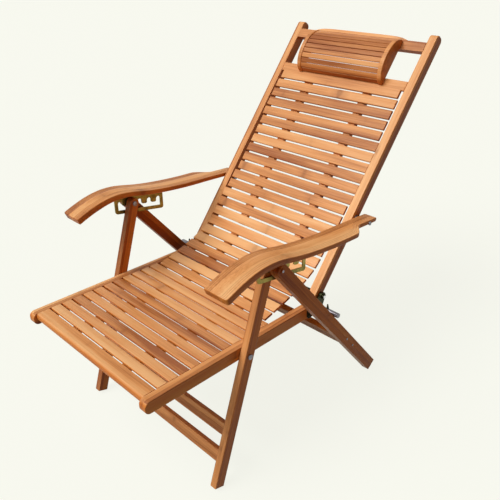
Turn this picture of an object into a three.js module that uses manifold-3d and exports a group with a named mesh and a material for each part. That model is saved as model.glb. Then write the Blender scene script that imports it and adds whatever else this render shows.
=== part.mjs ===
// Bamboo folding recliner: slatted seat, slatted back with a lumbar curve, headrest, curved arms,
// steel arm racks, crossed front and rear legs and the steel support that rests on the rear legs.
// Units are millimetres. X runs to the sitter's left and right, -Y is the front, +Z is up.
// Side profiles are drawn in the seat's own plane: S runs rearward along the seat from the rear
// edge of the front board, H rises square to it from the top of the seat slats.

import * as THREE from "three";
import { mergeVertices } from "three/addons/utils/BufferGeometryUtils.js";
import Module from "manifold-3d";

const wasm = await Module();
wasm.setup();

// Clearances.
const fitGap = 0.3; // between pieces that are fixed to each other
const runGap = 1; // between pieces that turn past each other
const boreGap = 0.3; // round a pin in its hole
const cutOverrun = 2; // how far each cutter runs past what it cuts
const weldDistance = 0.0001; // points nearer than this are one point

// Seat.
const seatInnerWidth = 426; // between the two side rails
const railThickness = 21.5;
const railDepth = 31;
const railNose = 8; // how far the rails reach in front of the front board
const railNoseRadius = 13;
const railTailRadius = 4;
const seatSlatCount = 11;
const seatPitch = 29.7;
const slatGap = 5;
const slatThickness = 6.5;
const slatRound = 1.6; // rounding of the slats' long edges
const railTail = 131; // rail behind the last seat slat
const frontBoardWidth = 34.6;
const frontBoardThickness = 20;
const frontBoardRound = 8;
const battenWidth = 23;
const battenDepth = 11;
const battenSpacing = 200; // between the middles of the two battens
const battenEndInset = 8; // short of the top of the lumbar curve
const battenEndDepth = 5; // where the seat battens thin out under the last lumbar slat
const battenThinShare = 0.8; // share of the lumbar curve at which that thinning starts

// Back.
const backDegrees = 51.9; // back against seat plane, in the pose that the model shows
const hingeS = 493;
const hingeH = 11;
const slatFaceOffset = 19.6; // from the hinge axis to the face of the back slats
const stileInnerWidth = 414;
const stileThickness = 22;
const stileDepth = 28;
const stileTopReach = 713; // hinge axis to the rounded top end
const stileBottomReach = 14;
const stileTopRound = 11;
const crestTopInset = 26; // below the rounded tops of the stiles
const crestTopReach = stileTopReach - crestTopInset;
const crestDepth = 26;
const crestThickness = 15;
const crestArch = 9; // rise of the crest's middle
const crestClearance = 84; // between the crest rail and the top board
const topBoardTopReach = crestTopReach - crestDepth - crestClearance;
const topBoardWidth = 47.6;
const topBoardThickness = 8;
const topBoardNotchLength = 9;
const topBoardNotchWidth = 22;
const backPitch = 29.53;
const straightSlatCount = 15;
const curvedSlatCount = 7;
const backSlatPlay = 12; // between the stiles, both ends together
const backSlatLength = stileInnerWidth - backSlatPlay;
const rightSlats = [5, 6, 7, 8, 9, 10]; // these lie against the right stile
const leftSlats = [13, 14, 15]; // these lie against the left stile, the others midway
const lumbarStartDegrees = 14; // slope of the curve where it meets the seat
const lumbarSagShare = 0.25; // dip of a flat slat, as a share of its turn and pitch
const lumbarSeatHandle = 70;
const lumbarBackHandle = 60;
const lumbarSlatPlay = 13;
const lumbarSlatLength = stileInnerWidth - lumbarSlatPlay;
const battenTopInset = 6; // below the top edge of the top board
const battenTopReach = topBoardTopReach - battenTopInset;
const backBattenInset = 3; // above the foot of the straight slats
const battenSteps = 26;

// Headrest.
const headrestLength = 282;
const headrestOverlap = 21; // how far the headrest reaches down over the top board
const headrestBottomReach = topBoardTopReach - headrestOverlap;
const headrestTopInset = 3; // below the top edge of the crest rail
const headrestTopReach = crestTopReach - headrestTopInset;
const headrestHeight = 39.5;
const headrestCapThickness = 13;
const headrestRecess = 2.2; // slats below the rim of the end caps
const headrestSlatCount = 11;
const headrestSlatThickness = 5;
const headrestSlatGapDegrees = 2.4;
const headrestSlatHold = 3; // how far the slats are let into the caps
const headrestSlatSteps = 3;

// Arms.
const overallWidth = 600;
const armSideGap = 4.5; // between stile and arm, filled by a collar
const armFrontS = 115.5;
const armRearS = 652;
const armFrontH = 191;
const armRise = 31.5; // front end of the arm to its highest point
const armThickness = 17;
const armTongueWidth = 36;
const armStepS = 548;
const armStepLength = 16;
const armCornerRadius = 6;
const armTongueRadius = 5;
const armEdge = 2.5; // easing of the long edges
const armSteps = 30;
const armBoltS = 621.5;
const armBoltH = 176.8;
// Top of the arm: shares of its length from front to rear, and of its rise above the front end.
const armTopShares = [
  [0, 0],
  [0.045, 0.32],
  [0.1, 0.65],
  [0.155, 0.88],
  [0.21, 0.99],
  [0.265, 0.97],
  [0.32, 0.83],
  [0.4, 0.55],
  [0.49, 0.32],
  [0.585, 0.15],
  [0.68, 0.03],
  [0.79, -0.05],
  [0.9, -0.15],
  [1, -0.25],
];
// Thickness of the arm: shares of its length from front to rear, and of its thickness in front.
const armThicknessShares = [
  [0, 1],
  [0.12, 1],
  [0.3, 0.79],
  [0.45, 0.74],
  [0.85, 0.68],
  [0.96, 0.66],
  [1, 0.6],
];

// Arm racks.
const rackThickness = 3;
const rackFrontDepth = 49; // underside of the arm to the lower edge of the loop, front and rear
const rackRearDepth = 54;
const rackBar = 9.5;
const rackTopBar = 16.5; // underside of the arm to the tops of the notches
const rackCorner = 6;
const notchCount = 5;
const notchPitch = 30.3;
const notchWidth = 13.4;
const notchDepth = 15;
const notchesInFront = 1; // notches in front of the one that the chair stands in
const toothEasing = 3;
const notchSteps = 6;
const rackSteps = 10;

// Legs.
const crownS = 285.7; // axis of the bolt that joins front and rear legs under the arm
const crownH = 183;
const frontFootS = 118.7; // middle of the front leg's foot
const frontFootH = -340;
const frontLegWidth = 27;
const frontLegThickness = 19;
const frontPivotH = -19; // height of the bolt between front leg and side rail
const rearLegDegrees = 49.8; // below the seat plane
const rearLegLength = 588; // crown bolt to foot
const rearLegWidth = 32;
const rearLegThickness = 22;
const rearLegTopRadius = 12; // rounding of the end under the arm, and its reach past the bolt
const rackPlaneGap = 3; // front leg to rack plate
const rearPlaneGap = 5.5; // rack plate to rear leg
const legEdge = 1.5;
const upperStretcherReach = 189.5; // front pivot to the middle of each front stretcher
const lowerStretcherReach = 258.5;
const frontStretcherWidth = 30;
const frontStretcherThickness = 15;
const frontStretcherSetback = 1.5; // behind the front edge of the legs
const rearStretcherReach = 411; // crown bolt to the middle of the rear stretcher
const rearStretcherWidth = 62;
const rearStretcherThickness = 15;
const stretcherEdge = 2;

// Bolts, shafts and plates.
const pivotRadius = 4.5;
const pivotHeadRadius = 6;
const pivotHeadHeight = 2.2;
const armBoltRadius = 4;
const armBoltHeadRadius = 5;
const armBoltHeadHeight = 2;
const armBoltCollarRadius = 9;
const armBoltNutRadius = 7;
const armBoltNutHeight = 4;
const shaftRadius = 5;
const shaftCollarRadius = 9;
const shaftHeadRadius = 6.5;
const shaftHeadHeight = 4;
const plateThickness = 3;
const plateRadius = 8;
const plateRodRadius = 10;
const plateBoltInset = 13; // rear end of the rail to the plate's two bolts
const plateBoltSpacing = 14; // from the upper bolt to the lower one
const plateBoltRadius = 4.5;
const plateBoltHeight = 2;
const restRodRadius = 6;
const restRodReach = 279; // crown bolt to the rod, along the rear leg
const restRodOverhang = 8; // beyond the outer face of the rear leg
const roundSides = 24;

// Helpers.
const degrees = THREE.MathUtils.degToRad;
const bambooLight = 0xd9964f;
const bambooSeat = 0xd68f55;
const bambooDark = 0xb8712f;
const brass = 0x7d7340;
const steel = 0x9a9a9c;

const root = new THREE.Group();
const chair = new THREE.Group();
root.add(chair);

// Turns a geometry into a solid that can be joined and cut.
function solidOf(geometry) {
  const bare = geometry.index ? geometry.toNonIndexed() : geometry.clone();
  bare.deleteAttribute("normal");
  bare.deleteAttribute("uv");
  const merged = mergeVertices(bare, weldDistance);
  const vertProperties = new Float32Array(merged.attributes.position.array);
  const triVerts = new Uint32Array(merged.index.array);
  return new wasm.Manifold(new wasm.Mesh({ numProp: 3, vertProperties, triVerts }));
}

// Turns a solid back into a geometry that a mesh can hold.
function geometryOf(solid) {
  const mesh = solid.getMesh();
  const points = new Float32Array(mesh.numVert * 3);
  for (let i = 0; i < mesh.numVert; i += 1) {
    const from = i * mesh.numProp;
    points.set(mesh.vertProperties.subarray(from, from + 3), i * 3);
  }
  const geometry = new THREE.BufferGeometry();
  geometry.setAttribute("position", new THREE.BufferAttribute(points, 3));
  geometry.setIndex(new THREE.BufferAttribute(new Uint32Array(mesh.triVerts), 1));
  geometry.computeVertexNormals();
  return geometry;
}

// Extrudes a side profile drawn in (S, H) from x0 to x1, with eased edges where edge is given.
function sideExtrude(shape, x0, x1, edge = 0, curveSegments = 8) {
  const depth = x1 - x0 - 2 * edge;
  const settings = { depth, bevelEnabled: edge > 0, curveSegments };
  settings.bevelThickness = edge;
  settings.bevelSize = edge;
  settings.bevelOffset = -edge;
  settings.bevelSegments = 2;
  const geometry = new THREE.ExtrudeGeometry(shape, settings);
  geometry.translate(0, 0, x0 + edge);
  const toSide = new THREE.Matrix4().set(0, 0, 1, 0, 1, 0, 0, 0, 0, 1, 0, 0, 0, 0, 0, 1);
  return geometry.applyMatrix4(toSide);
}

// A rectangle with its own corner radii, lower left first, anticlockwise.
function roundedRectangle(s0, h0, s1, h1, radii) {
  const [lowLeft, lowRight, highRight, highLeft] = radii;
  const shape = new THREE.Shape();
  shape.moveTo(s0 + lowLeft, h0);
  shape.lineTo(s1 - lowRight, h0);
  if (lowRight > 0) shape.absarc(s1 - lowRight, h0 + lowRight, lowRight, -Math.PI / 2, 0);
  shape.lineTo(s1, h1 - highRight);
  if (highRight > 0) shape.absarc(s1 - highRight, h1 - highRight, highRight, 0, Math.PI / 2);
  shape.lineTo(s0 + highLeft, h1);
  if (highLeft > 0) {
    shape.absarc(s0 + highLeft, h1 - highLeft, highLeft, Math.PI / 2, Math.PI);
  }
  shape.lineTo(s0, h0 + lowLeft);
  if (lowLeft > 0) {
    shape.absarc(s0 + lowLeft, h0 + lowLeft, lowLeft, Math.PI, Math.PI * 1.5);
  }
  return shape;
}

// A round bar along X from x0 to x1 about (s, h).
function crossBar(x0, x1, s, h, radius) {
  const bar = new THREE.CylinderGeometry(radius, radius, x1 - x0, roundSides);
  bar.rotateZ(-Math.PI / 2);
  bar.translate((x0 + x1) / 2, s, h);
  return bar;
}

// A strip with round ends between two points of the side view.
function linkSolid(x0, x1, from, to, radius) {
  const along = to.clone().sub(from);
  const shape = new THREE.Shape();
  const length = along.length();
  shape.absarc(0, 0, radius, Math.PI / 2, Math.PI * 1.5);
  shape.absarc(length, 0, radius, -Math.PI / 2, Math.PI / 2);
  const strip = sideExtrude(shape, x0, x1, 0, roundSides / 2);
  strip.rotateX(along.angle());
  strip.translate(0, from.x, from.y);
  return solidOf(strip);
}

// Adds one named mesh to a group.
function addMesh(group, name, geometry, color, roughness, metalness) {
  const material = new THREE.MeshStandardMaterial({ color, roughness, metalness });
  const mesh = new THREE.Mesh(geometry, material);
  mesh.name = name;
  group.add(mesh);
  return mesh;
}

function addBamboo(group, name, geometry, color = bambooLight) {
  return addMesh(group, name, geometry, color, 0.38, 0);
}

function addMetal(group, name, geometry, color) {
  return addMesh(group, name, geometry, color, 0.35, 0.9);
}

// Mirrors a right-hand geometry to the left side of the chair.
function mirrored(solid) {
  return solid.mirror([1, 0, 0]);
}

// Adds a right-hand solid and its left-hand mirror image.
function addPair(group, name, solid, add) {
  add(group, `${name}_right`, geometryOf(solid));
  add(group, `${name}_left`, geometryOf(mirrored(solid)));
}

const sideStack = {};
sideStack.railInner = seatInnerWidth / 2;
sideStack.railOuter = sideStack.railInner + railThickness;
sideStack.frontLegInner = sideStack.railOuter + runGap;
sideStack.frontLegOuter = sideStack.frontLegInner + frontLegThickness;
sideStack.rackInner = sideStack.frontLegOuter + rackPlaneGap;
sideStack.rackOuter = sideStack.rackInner + rackThickness;
sideStack.rearLegInner = sideStack.rackOuter + rearPlaneGap;
sideStack.rearLegOuter = sideStack.rearLegInner + rearLegThickness;
sideStack.stileInner = stileInnerWidth / 2;
sideStack.stileOuter = sideStack.stileInner + stileThickness;
sideStack.armInner = sideStack.stileOuter + armSideGap;
sideStack.armOuter = overallWidth / 2;
sideStack.plateInner = sideStack.railOuter + fitGap;
sideStack.plateOuter = sideStack.plateInner + plateThickness;

// Places in the side view.
const crown = new THREE.Vector2(crownS, crownH);
const frontFoot = new THREE.Vector2(frontFootS, frontFootH);
const frontLegAxis = crown.clone().sub(frontFoot).normalize();
const pivotShare = (frontPivotH - frontFootH) / (crownH - frontFootH);
const frontPivot = frontFoot.clone().lerp(crown, pivotShare);
const frontLegAngle = frontLegAxis.angle();
const rearLegAngle = degrees(-rearLegDegrees);
const rearLegAxis = new THREE.Vector2(Math.cos(rearLegAngle), Math.sin(rearLegAngle));
const rearLegNormal = new THREE.Vector2(-rearLegAxis.y, rearLegAxis.x);
const hinge = new THREE.Vector2(hingeS, hingeH);
const backAngle = degrees(backDegrees);
const backAxis = new THREE.Vector2(Math.cos(backAngle), Math.sin(backAngle));
const backNormal = new THREE.Vector2(-backAxis.y, backAxis.x);
const armBolt = new THREE.Vector2(armBoltS, armBoltH);
const restRod = crown
  .clone()
  .addScaledVector(rearLegAxis, restRodReach)
  .addScaledVector(rearLegNormal, rearLegWidth / 2 + fitGap + restRodRadius);

// A point of the back, from its reach along the stile and its offset in front of the hinge axis.
function backPoint(reach, offset) {
  return hinge.clone().addScaledVector(backAxis, reach).addScaledVector(backNormal, offset);
}

const seatEndS = seatSlatCount * seatPitch;
const straightSlatReach = straightSlatCount * backPitch;
const lumbarTopReach = topBoardTopReach - topBoardWidth - slatGap / 2 - straightSlatReach;
const lumbarStart = new THREE.Vector2(seatEndS, 0);
const lumbarTop = backPoint(lumbarTopReach, slatFaceOffset);
const lumbarSlope = degrees(lumbarStartDegrees);
const lumbarLead = new THREE.Vector2(Math.cos(lumbarSlope), Math.sin(lumbarSlope));

// The faces of the lumbar slats follow this line from the seat panel up to the back panel.
const lumbarCurve = new THREE.CubicBezierCurve(
  lumbarStart,
  lumbarStart.clone().addScaledVector(lumbarLead, lumbarSeatHandle),
  lumbarTop.clone().addScaledVector(backAxis, -lumbarBackHandle),
  lumbarTop,
);
const lumbarLength = lumbarCurve.getLength();
const lumbarPitch = lumbarLength / curvedSlatCount;

// Flat slats on a curve dip below it: the battens keep clear of the deepest dip.
const lumbarTurn = backAngle - lumbarSlope;
const slatSag = fitGap + (lumbarSagShare * lumbarTurn * lumbarPitch) / curvedSlatCount;

// Seat.
const seat = new THREE.Group();
chair.add(seat);
const railFrontS = -slatGap / 2 - frontBoardWidth - railNose;
const railRearS = seatEndS + railTail;

function buildRails() {
  const radii = [railNoseRadius, railTailRadius, railTailRadius, railNoseRadius];
  const outline = roundedRectangle(railFrontS, -railDepth, railRearS, 0, radii);
  const inner = sideStack.railInner;
  const outer = sideStack.railOuter;
  const pinEnd = sideStack.frontLegOuter + fitGap;
  const headEnd = pinEnd + pivotHeadHeight;
  const pinStart = outer - cutOverrun;
  const pin = crossBar(pinStart, headEnd, frontPivot.x, frontPivot.y, pivotRadius);
  const head = crossBar(pinEnd, headEnd, frontPivot.x, frontPivot.y, pivotHeadRadius);
  const rail = solidOf(sideExtrude(outline, inner, outer, legEdge))
    .add(solidOf(pin))
    .add(solidOf(head));
  addPair(seat, "seat_rail", rail, addBamboo);
}

// A slat's section about its own middle, face up.
function slatGeometry(width, thickness, halfLength, round) {
  const radii = [round / 2, round / 2, round, round];
  const outline = roundedRectangle(-width / 2, -thickness, width / 2, 0, radii);
  return sideExtrude(outline, -halfLength, halfLength, 0, 3);
}

function buildSeatPanel() {
  const halfLength = sideStack.railInner - fitGap;
  const boardRadii = [frontBoardRound, slatRound, slatRound, frontBoardRound];
  const boardRear = -slatGap / 2;
  const boardFront = boardRear - frontBoardWidth;
  const outline = roundedRectangle(boardFront, -frontBoardThickness, boardRear, 0, boardRadii);
  addBamboo(seat, "seat_front_board", sideExtrude(outline, -halfLength, halfLength), bambooSeat);
  for (let i = 0; i < seatSlatCount; i += 1) {
    const width = seatPitch - slatGap;
    const geometry = slatGeometry(width, slatThickness, halfLength, slatRound);
    const name = `seat_slat_${String(i + 1).padStart(2, "0")}`;
    const slat = addBamboo(seat, name, geometry, bambooSeat);
    slat.position.set(0, seatPitch * (i + 0.5), 0);
  }
}

// The narrower slats that climb from the seat panel to the foot of the back panel. They lie
// towards the left stile.
function buildLumbarSlats() {
  for (let i = 0; i < curvedSlatCount; i += 1) {
    const place = (i + 0.5) / curvedSlatCount;
    const halfLength = lumbarSlatLength / 2;
    const geometry = slatGeometry(lumbarPitch - slatGap, slatThickness, halfLength, slatRound);
    const number = seatSlatCount + i + 1;
    const slat = addBamboo(seat, `seat_slat_${number}`, geometry, bambooSeat);
    const middle = lumbarCurve.getPointAt(place);
    const aside = sideStack.stileInner - runGap - halfLength;
    slat.position.set(-aside, middle.x, middle.y);
    slat.rotation.x = lumbarCurve.getTangentAt(place).angle();
  }
}

// Two lengthwise battens of one side profile.
function addBattens(group, name, shape, place) {
  for (const side of [1, -1]) {
    const middle = (side * battenSpacing) / 2;
    const suffix = side > 0 ? "right" : "left";
    const geometry = sideExtrude(shape, middle - battenWidth / 2, middle + battenWidth / 2);
    addBamboo(group, `${name}_${suffix}`, place(geometry), bambooDark);
  }
}

// The battens under the seat run on round the lumbar curve and thin out under its last slat.
function buildSeatBattens() {
  const upper = [new THREE.Vector2(fitGap, -slatThickness - fitGap)];
  upper.push(new THREE.Vector2(seatEndS, -slatThickness - fitGap));
  const lower = upper.map((point) => point.clone().setY(point.y - battenDepth));
  const clear = slatThickness + slatSag;
  for (let i = 1; i <= battenSteps; i += 1) {
    const place = (i / battenSteps) * (1 - battenEndInset / lumbarLength);
    const tangent = lumbarCurve.getTangentAt(place);
    const normal = new THREE.Vector2(-tangent.y, tangent.x);
    const thinning = Math.max(0, place - battenThinShare) / (1 - battenThinShare);
    const depth = battenDepth - (battenDepth - battenEndDepth) * thinning;
    const face = lumbarCurve.getPointAt(place);
    upper.push(face.clone().addScaledVector(normal, -clear));
    lower.push(face.clone().addScaledVector(normal, -clear - depth));
  }
  const shape = new THREE.Shape([...lower, ...upper.reverse()]);
  addBattens(seat, "seat_batten", shape, (geometry) => geometry);
}

// Two side plates welded to the cross rod that rests on the rear legs.
function buildRearSupport() {
  const inner = sideStack.plateInner;
  const outer = sideStack.plateOuter;
  const boltS = railRearS - plateBoltInset;
  const upperH = -(railDepth - plateBoltSpacing) / 2;
  const bolts = [
    new THREE.Vector2(boltS, upperH),
    new THREE.Vector2(boltS, upperH - plateBoltSpacing),
  ];
  const side = [hinge, restRod];
  let plate = linkSolid(inner, outer, bolts[1], bolts[0], plateRadius)
    .add(linkSolid(inner, outer, bolts[0], side[0], plateRadius))
    .add(linkSolid(inner, outer, side[0], side[1], plateRodRadius))
    .add(linkSolid(inner, outer, bolts[1], side[1], plateRadius));
  for (const bolt of bolts) {
    const headEnd = outer + plateBoltHeight;
    plate = plate.add(solidOf(crossBar(inner, headEnd, bolt.x, bolt.y, plateBoltRadius)));
  }
  const boreRadius = shaftRadius + boreGap;
  const bore = crossBar(inner - cutOverrun, outer + cutOverrun, hinge.x, hinge.y, boreRadius);
  plate = plate.subtract(solidOf(bore));
  const rodHalf = sideStack.rearLegOuter + restRodOverhang;
  const rod = solidOf(crossBar(-rodHalf, rodHalf, restRod.x, restRod.y, restRodRadius));
  const support = rod.add(plate).add(mirrored(plate));
  addMetal(seat, "rear_support", geometryOf(support), steel);
}

buildRails();
buildSeatPanel();
buildLumbarSlats();
buildSeatBattens();
buildRearSupport();

// Hinge shaft between seat and back.
function buildHingeShaft() {
  const shaftHalf = sideStack.plateOuter + fitGap + shaftHeadHeight;
  let shaft = solidOf(crossBar(-shaftHalf, shaftHalf, hinge.x, hinge.y, shaftRadius));
  const collarStart = sideStack.stileOuter + fitGap;
  const collarEnd = sideStack.plateInner - fitGap;
  const collar = crossBar(collarStart, collarEnd, hinge.x, hinge.y, shaftCollarRadius);
  const headStart = sideStack.plateOuter + fitGap;
  const head = crossBar(headStart, shaftHalf, hinge.x, hinge.y, shaftHeadRadius);
  const ends = solidOf(collar).add(solidOf(head));
  shaft = shaft.add(ends).add(mirrored(ends));
  addMetal(chair, "hinge_shaft", geometryOf(shaft), steel);
}

buildHingeShaft();

// Back.
const back = new THREE.Group();
chair.add(back);

function onBack(geometry) {
  geometry.rotateX(backAngle);
  geometry.translate(0, hinge.x, hinge.y);
  return geometry;
}

function buildStiles() {
  const behind = slatFaceOffset - stileDepth;
  const radii = [stileTopRound, stileTopRound, stileTopRound, stileTopRound];
  const outline = roundedRectangle(-stileBottomReach, behind, stileTopReach, slatFaceOffset, radii);
  const inner = sideStack.stileInner;
  const outer = sideStack.stileOuter;
  const blank = solidOf(onBack(sideExtrude(outline, inner, outer, legEdge)));
  const from = inner - cutOverrun;
  const to = outer + cutOverrun;
  const shaftBore = crossBar(from, to, hinge.x, hinge.y, shaftRadius + boreGap);
  const boltBore = crossBar(from, to, armBolt.x, armBolt.y, armBoltRadius + boreGap);
  const stile = blank.subtract(solidOf(shaftBore)).subtract(solidOf(boltBore));
  addPair(back, "back_stile", stile, addBamboo);
}

// The crest: square ends under the stile tops and a flat arch over the headrest.
function buildCrest() {
  const half = sideStack.stileInner - fitGap;
  const bottom = crestTopReach - crestDepth;
  const flatShare = 0.74;
  const shoulderShare = 0.62;
  const archShare = 1.02;
  const shape = new THREE.Shape();
  shape.moveTo(-half, bottom);
  shape.lineTo(half, bottom);
  shape.lineTo(half, crestTopReach);
  shape.lineTo(half * flatShare, crestTopReach);
  const peak = crestTopReach + crestArch;
  shape.bezierCurveTo(
    half * shoulderShare,
    crestTopReach + crestArch * archShare,
    half * shoulderShare,
    peak,
    0,
    peak,
  );
  shape.bezierCurveTo(
    -half * shoulderShare,
    peak,
    -half * shoulderShare,
    crestTopReach + crestArch * archShare,
    -half * flatShare,
    crestTopReach,
  );
  shape.lineTo(-half, crestTopReach);
  const geometry = new THREE.ExtrudeGeometry(shape, {
    depth: crestThickness,
    bevelEnabled: false,
    curveSegments: 10,
  });
  geometry.translate(0, 0, slatFaceOffset - crestThickness);
  addBamboo(back, "crest_rail", onBack(geometry));
}

// The wide board under the headrest, notched at both lower corners.
function buildTopBoard() {
  const half = sideStack.stileInner - fitGap;
  const bottom = topBoardTopReach - topBoardWidth;
  const shape = new THREE.Shape();
  shape.moveTo(-half + topBoardNotchLength, bottom);
  shape.lineTo(half - topBoardNotchLength, bottom);
  shape.lineTo(half - topBoardNotchLength, bottom + topBoardNotchWidth);
  shape.lineTo(half, bottom + topBoardNotchWidth);
  shape.lineTo(half, topBoardTopReach);
  shape.lineTo(-half, topBoardTopReach);
  shape.lineTo(-half, bottom + topBoardNotchWidth);
  shape.lineTo(-half + topBoardNotchLength, bottom + topBoardNotchWidth);
  const geometry = new THREE.ExtrudeGeometry(shape, {
    depth: topBoardThickness - 2 * slatRound,
    bevelThickness: slatRound,
    bevelSize: slatRound,
    bevelOffset: -slatRound,
    bevelSegments: 2,
  });
  geometry.translate(0, 0, slatFaceOffset - topBoardThickness + slatRound);
  addBamboo(back, "top_board", onBack(geometry));
}

function buildBackSlats() {
  const firstReach = topBoardTopReach - topBoardWidth - slatGap / 2;
  for (let i = 0; i < straightSlatCount; i += 1) {
    const reach = firstReach - (i + 0.5) * backPitch;
    const halfLength = backSlatLength / 2;
    const slack = sideStack.stileInner - fitGap - halfLength;
    const isRight = rightSlats.includes(i + 1);
    const isLeft = leftSlats.includes(i + 1);
    const aside = (isRight ? slack : 0) - (isLeft ? slack : 0);
    const geometry = slatGeometry(backPitch - slatGap, slatThickness, halfLength, slatRound);
    const name = `back_slat_${String(i + 1).padStart(2, "0")}`;
    const slat = addBamboo(back, name, geometry);
    const middle = backPoint(reach, slatFaceOffset);
    slat.position.set(aside, middle.x, middle.y);
    slat.rotation.x = backAngle;
  }
}

// Lengthwise battens behind the back slats, thinner where they run behind the top board.
function buildBackBattens() {
  const boardRear = slatFaceOffset - topBoardThickness - fitGap;
  const slatRear = slatFaceOffset - slatThickness - fitGap;
  const rear = slatRear - battenDepth;
  const low = lumbarTopReach + backBattenInset;
  const step = topBoardTopReach - topBoardWidth - slatGap / 2;
  const shape = new THREE.Shape();
  shape.moveTo(low, rear);
  shape.lineTo(battenTopReach, rear);
  shape.lineTo(battenTopReach, boardRear);
  shape.lineTo(step, boardRear);
  shape.lineTo(step, slatRear);
  shape.lineTo(low, slatRear);
  addBattens(back, "back_batten", shape, onBack);
}

// Headrest.
// A half-ellipse of end caps with thin slats between them, open at the back.
function buildHeadrest() {
  const middle = (headrestTopReach + headrestBottomReach) / 2;
  const halfU = (headrestTopReach - headrestBottomReach) / 2;
  const halfLength = headrestLength / 2;
  const base = slatFaceOffset + fitGap;
  const cap = new THREE.Shape();
  cap.absellipse(middle, base, halfU, headrestHeight, 0, Math.PI);
  const capInner = halfLength - headrestCapThickness;
  const rightCap = solidOf(sideExtrude(cap, capInner, halfLength, 0, 24));
  let solid = rightCap.add(mirrored(rightCap));
  const outerU = halfU - headrestRecess;
  const outerV = headrestHeight - headrestRecess;
  const innerU = outerU - headrestSlatThickness;
  const innerV = outerV - headrestSlatThickness;
  const gap = degrees(headrestSlatGapDegrees);
  const span = (Math.PI - gap) / headrestSlatCount;
  for (let i = 0; i < headrestSlatCount; i += 1) {
    const from = gap + i * span;
    const to = from + span - gap;
    const outline = [];
    for (let k = 0; k <= headrestSlatSteps; k += 1) {
      const a = from + ((to - from) * k) / headrestSlatSteps;
      outline.push(new THREE.Vector2(middle + outerU * Math.cos(a), base + outerV * Math.sin(a)));
    }
    for (let k = headrestSlatSteps; k >= 0; k -= 1) {
      const a = from + ((to - from) * k) / headrestSlatSteps;
      outline.push(new THREE.Vector2(middle + innerU * Math.cos(a), base + innerV * Math.sin(a)));
    }
    const reach = capInner + headrestSlatHold;
    solid = solid.add(solidOf(sideExtrude(new THREE.Shape(outline), -reach, reach)));
  }
  addBamboo(back, "headrest", onBack(geometryOf(solid)));
}

buildStiles();
buildCrest();
buildTopBoard();
buildBackSlats();
buildBackBattens();
buildHeadrest();

// Arms.
const arms = new THREE.Group();
chair.add(arms);
const armLength = armRearS - armFrontS;
const armTop = new THREE.SplineCurve(
  armTopShares.map(([alongShare, riseShare]) => {
    return new THREE.Vector2(armFrontS + alongShare * armLength, armFrontH + riseShare * armRise);
  }),
);

// The arm's thickness at a share of its length.
function armThicknessAt(share) {
  const last = armThicknessShares.length - 1;
  let i = 1;
  while (i < last && armThicknessShares[i][0] < share) i += 1;
  const [fromShare, fromThickness] = armThicknessShares[i - 1];
  const [toShare, toThickness] = armThicknessShares[i];
  const between = (share - fromShare) / (toShare - fromShare);
  return armThickness * (fromThickness + (toThickness - fromThickness) * between);
}

// A point of the arm's underside at a share of the top line, drop millimetres below it.
function armUnderside(share, drop) {
  const tangent = armTop.getTangent(share);
  const normal = new THREE.Vector2(-tangent.y, tangent.x);
  const face = armTop.getPoint(share);
  const thickness = armThicknessAt((face.x - armFrontS) / armLength);
  return face.addScaledVector(normal, -thickness - drop);
}

// The share at which the underside passes over a place s.
function armShareAt(s) {
  let low = 0;
  let high = 1;
  for (let i = 0; i < armSteps; i += 1) {
    const middle = (low + high) / 2;
    if (armUnderside(middle, 0).x < s) low = middle;
    else high = middle;
  }
  return low;
}

function buildArms() {
  const shape = new THREE.Shape();
  const topLine = [];
  const underLine = [];
  for (let i = 0; i <= armSteps; i += 1) {
    topLine.push(armTop.getPoint(i / armSteps));
    underLine.push(armUnderside(i / armSteps, 0));
  }
  shape.setFromPoints([...underLine, ...topLine.reverse()]);
  const profile = solidOf(sideExtrude(shape, sideStack.armInner, sideStack.armOuter, armEdge));
  const plan = new THREE.Shape();
  const inner = sideStack.armInner - cutOverrun;
  const outer = sideStack.armOuter + cutOverrun;
  const tongue = sideStack.armInner + armTongueWidth;
  const noseX = sideStack.armOuter - armCornerRadius;
  const noseFlat = underLine[0].x - cutOverrun;
  plan.moveTo(inner, noseFlat);
  plan.lineTo(noseX, noseFlat);
  plan.lineTo(noseX, armFrontS);
  plan.absarc(noseX, armFrontS + armCornerRadius, armCornerRadius, -Math.PI / 2, 0);
  plan.lineTo(outer, armFrontS + armCornerRadius);
  plan.lineTo(outer, armStepS - armStepLength);
  plan.lineTo(sideStack.armOuter, armStepS - armStepLength);
  plan.quadraticCurveTo(
    sideStack.armOuter - armStepLength / 2,
    armStepS - armStepLength / 3,
    (sideStack.armOuter + tongue) / 2,
    armStepS,
  );
  plan.quadraticCurveTo(
    tongue + armStepLength / 3,
    armStepS + armStepLength / 3,
    tongue,
    armStepS + armStepLength,
  );
  plan.lineTo(tongue, armRearS - armTongueRadius);
  plan.lineTo(tongue - armTongueRadius, armRearS);
  plan.lineTo(tongue - armTongueRadius, armRearS + cutOverrun);
  plan.lineTo(inner, armRearS + cutOverrun);
  const planGeometry = new THREE.ExtrudeGeometry(plan, {
    depth: armRise * 2 + armThickness * 4,
    bevelEnabled: false,
    curveSegments: 6,
  });
  planGeometry.translate(0, 0, armFrontH - armRise - armThickness * 2);
  const from = sideStack.armInner - cutOverrun;
  const boreRadius = armBoltRadius + boreGap;
  const bore = crossBar(from, tongue + cutOverrun, armBolt.x, armBolt.y, boreRadius);
  const arm = profile.intersect(solidOf(planGeometry)).subtract(solidOf(bore));
  addPair(arms, "armrest", arm, addBamboo);
}

// A point of the side view at place s, drop millimetres below the arm's underside.
function belowArm(s, drop) {
  return new THREE.Vector2(s, armUnderside(armShareAt(s), drop).y);
}

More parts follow.
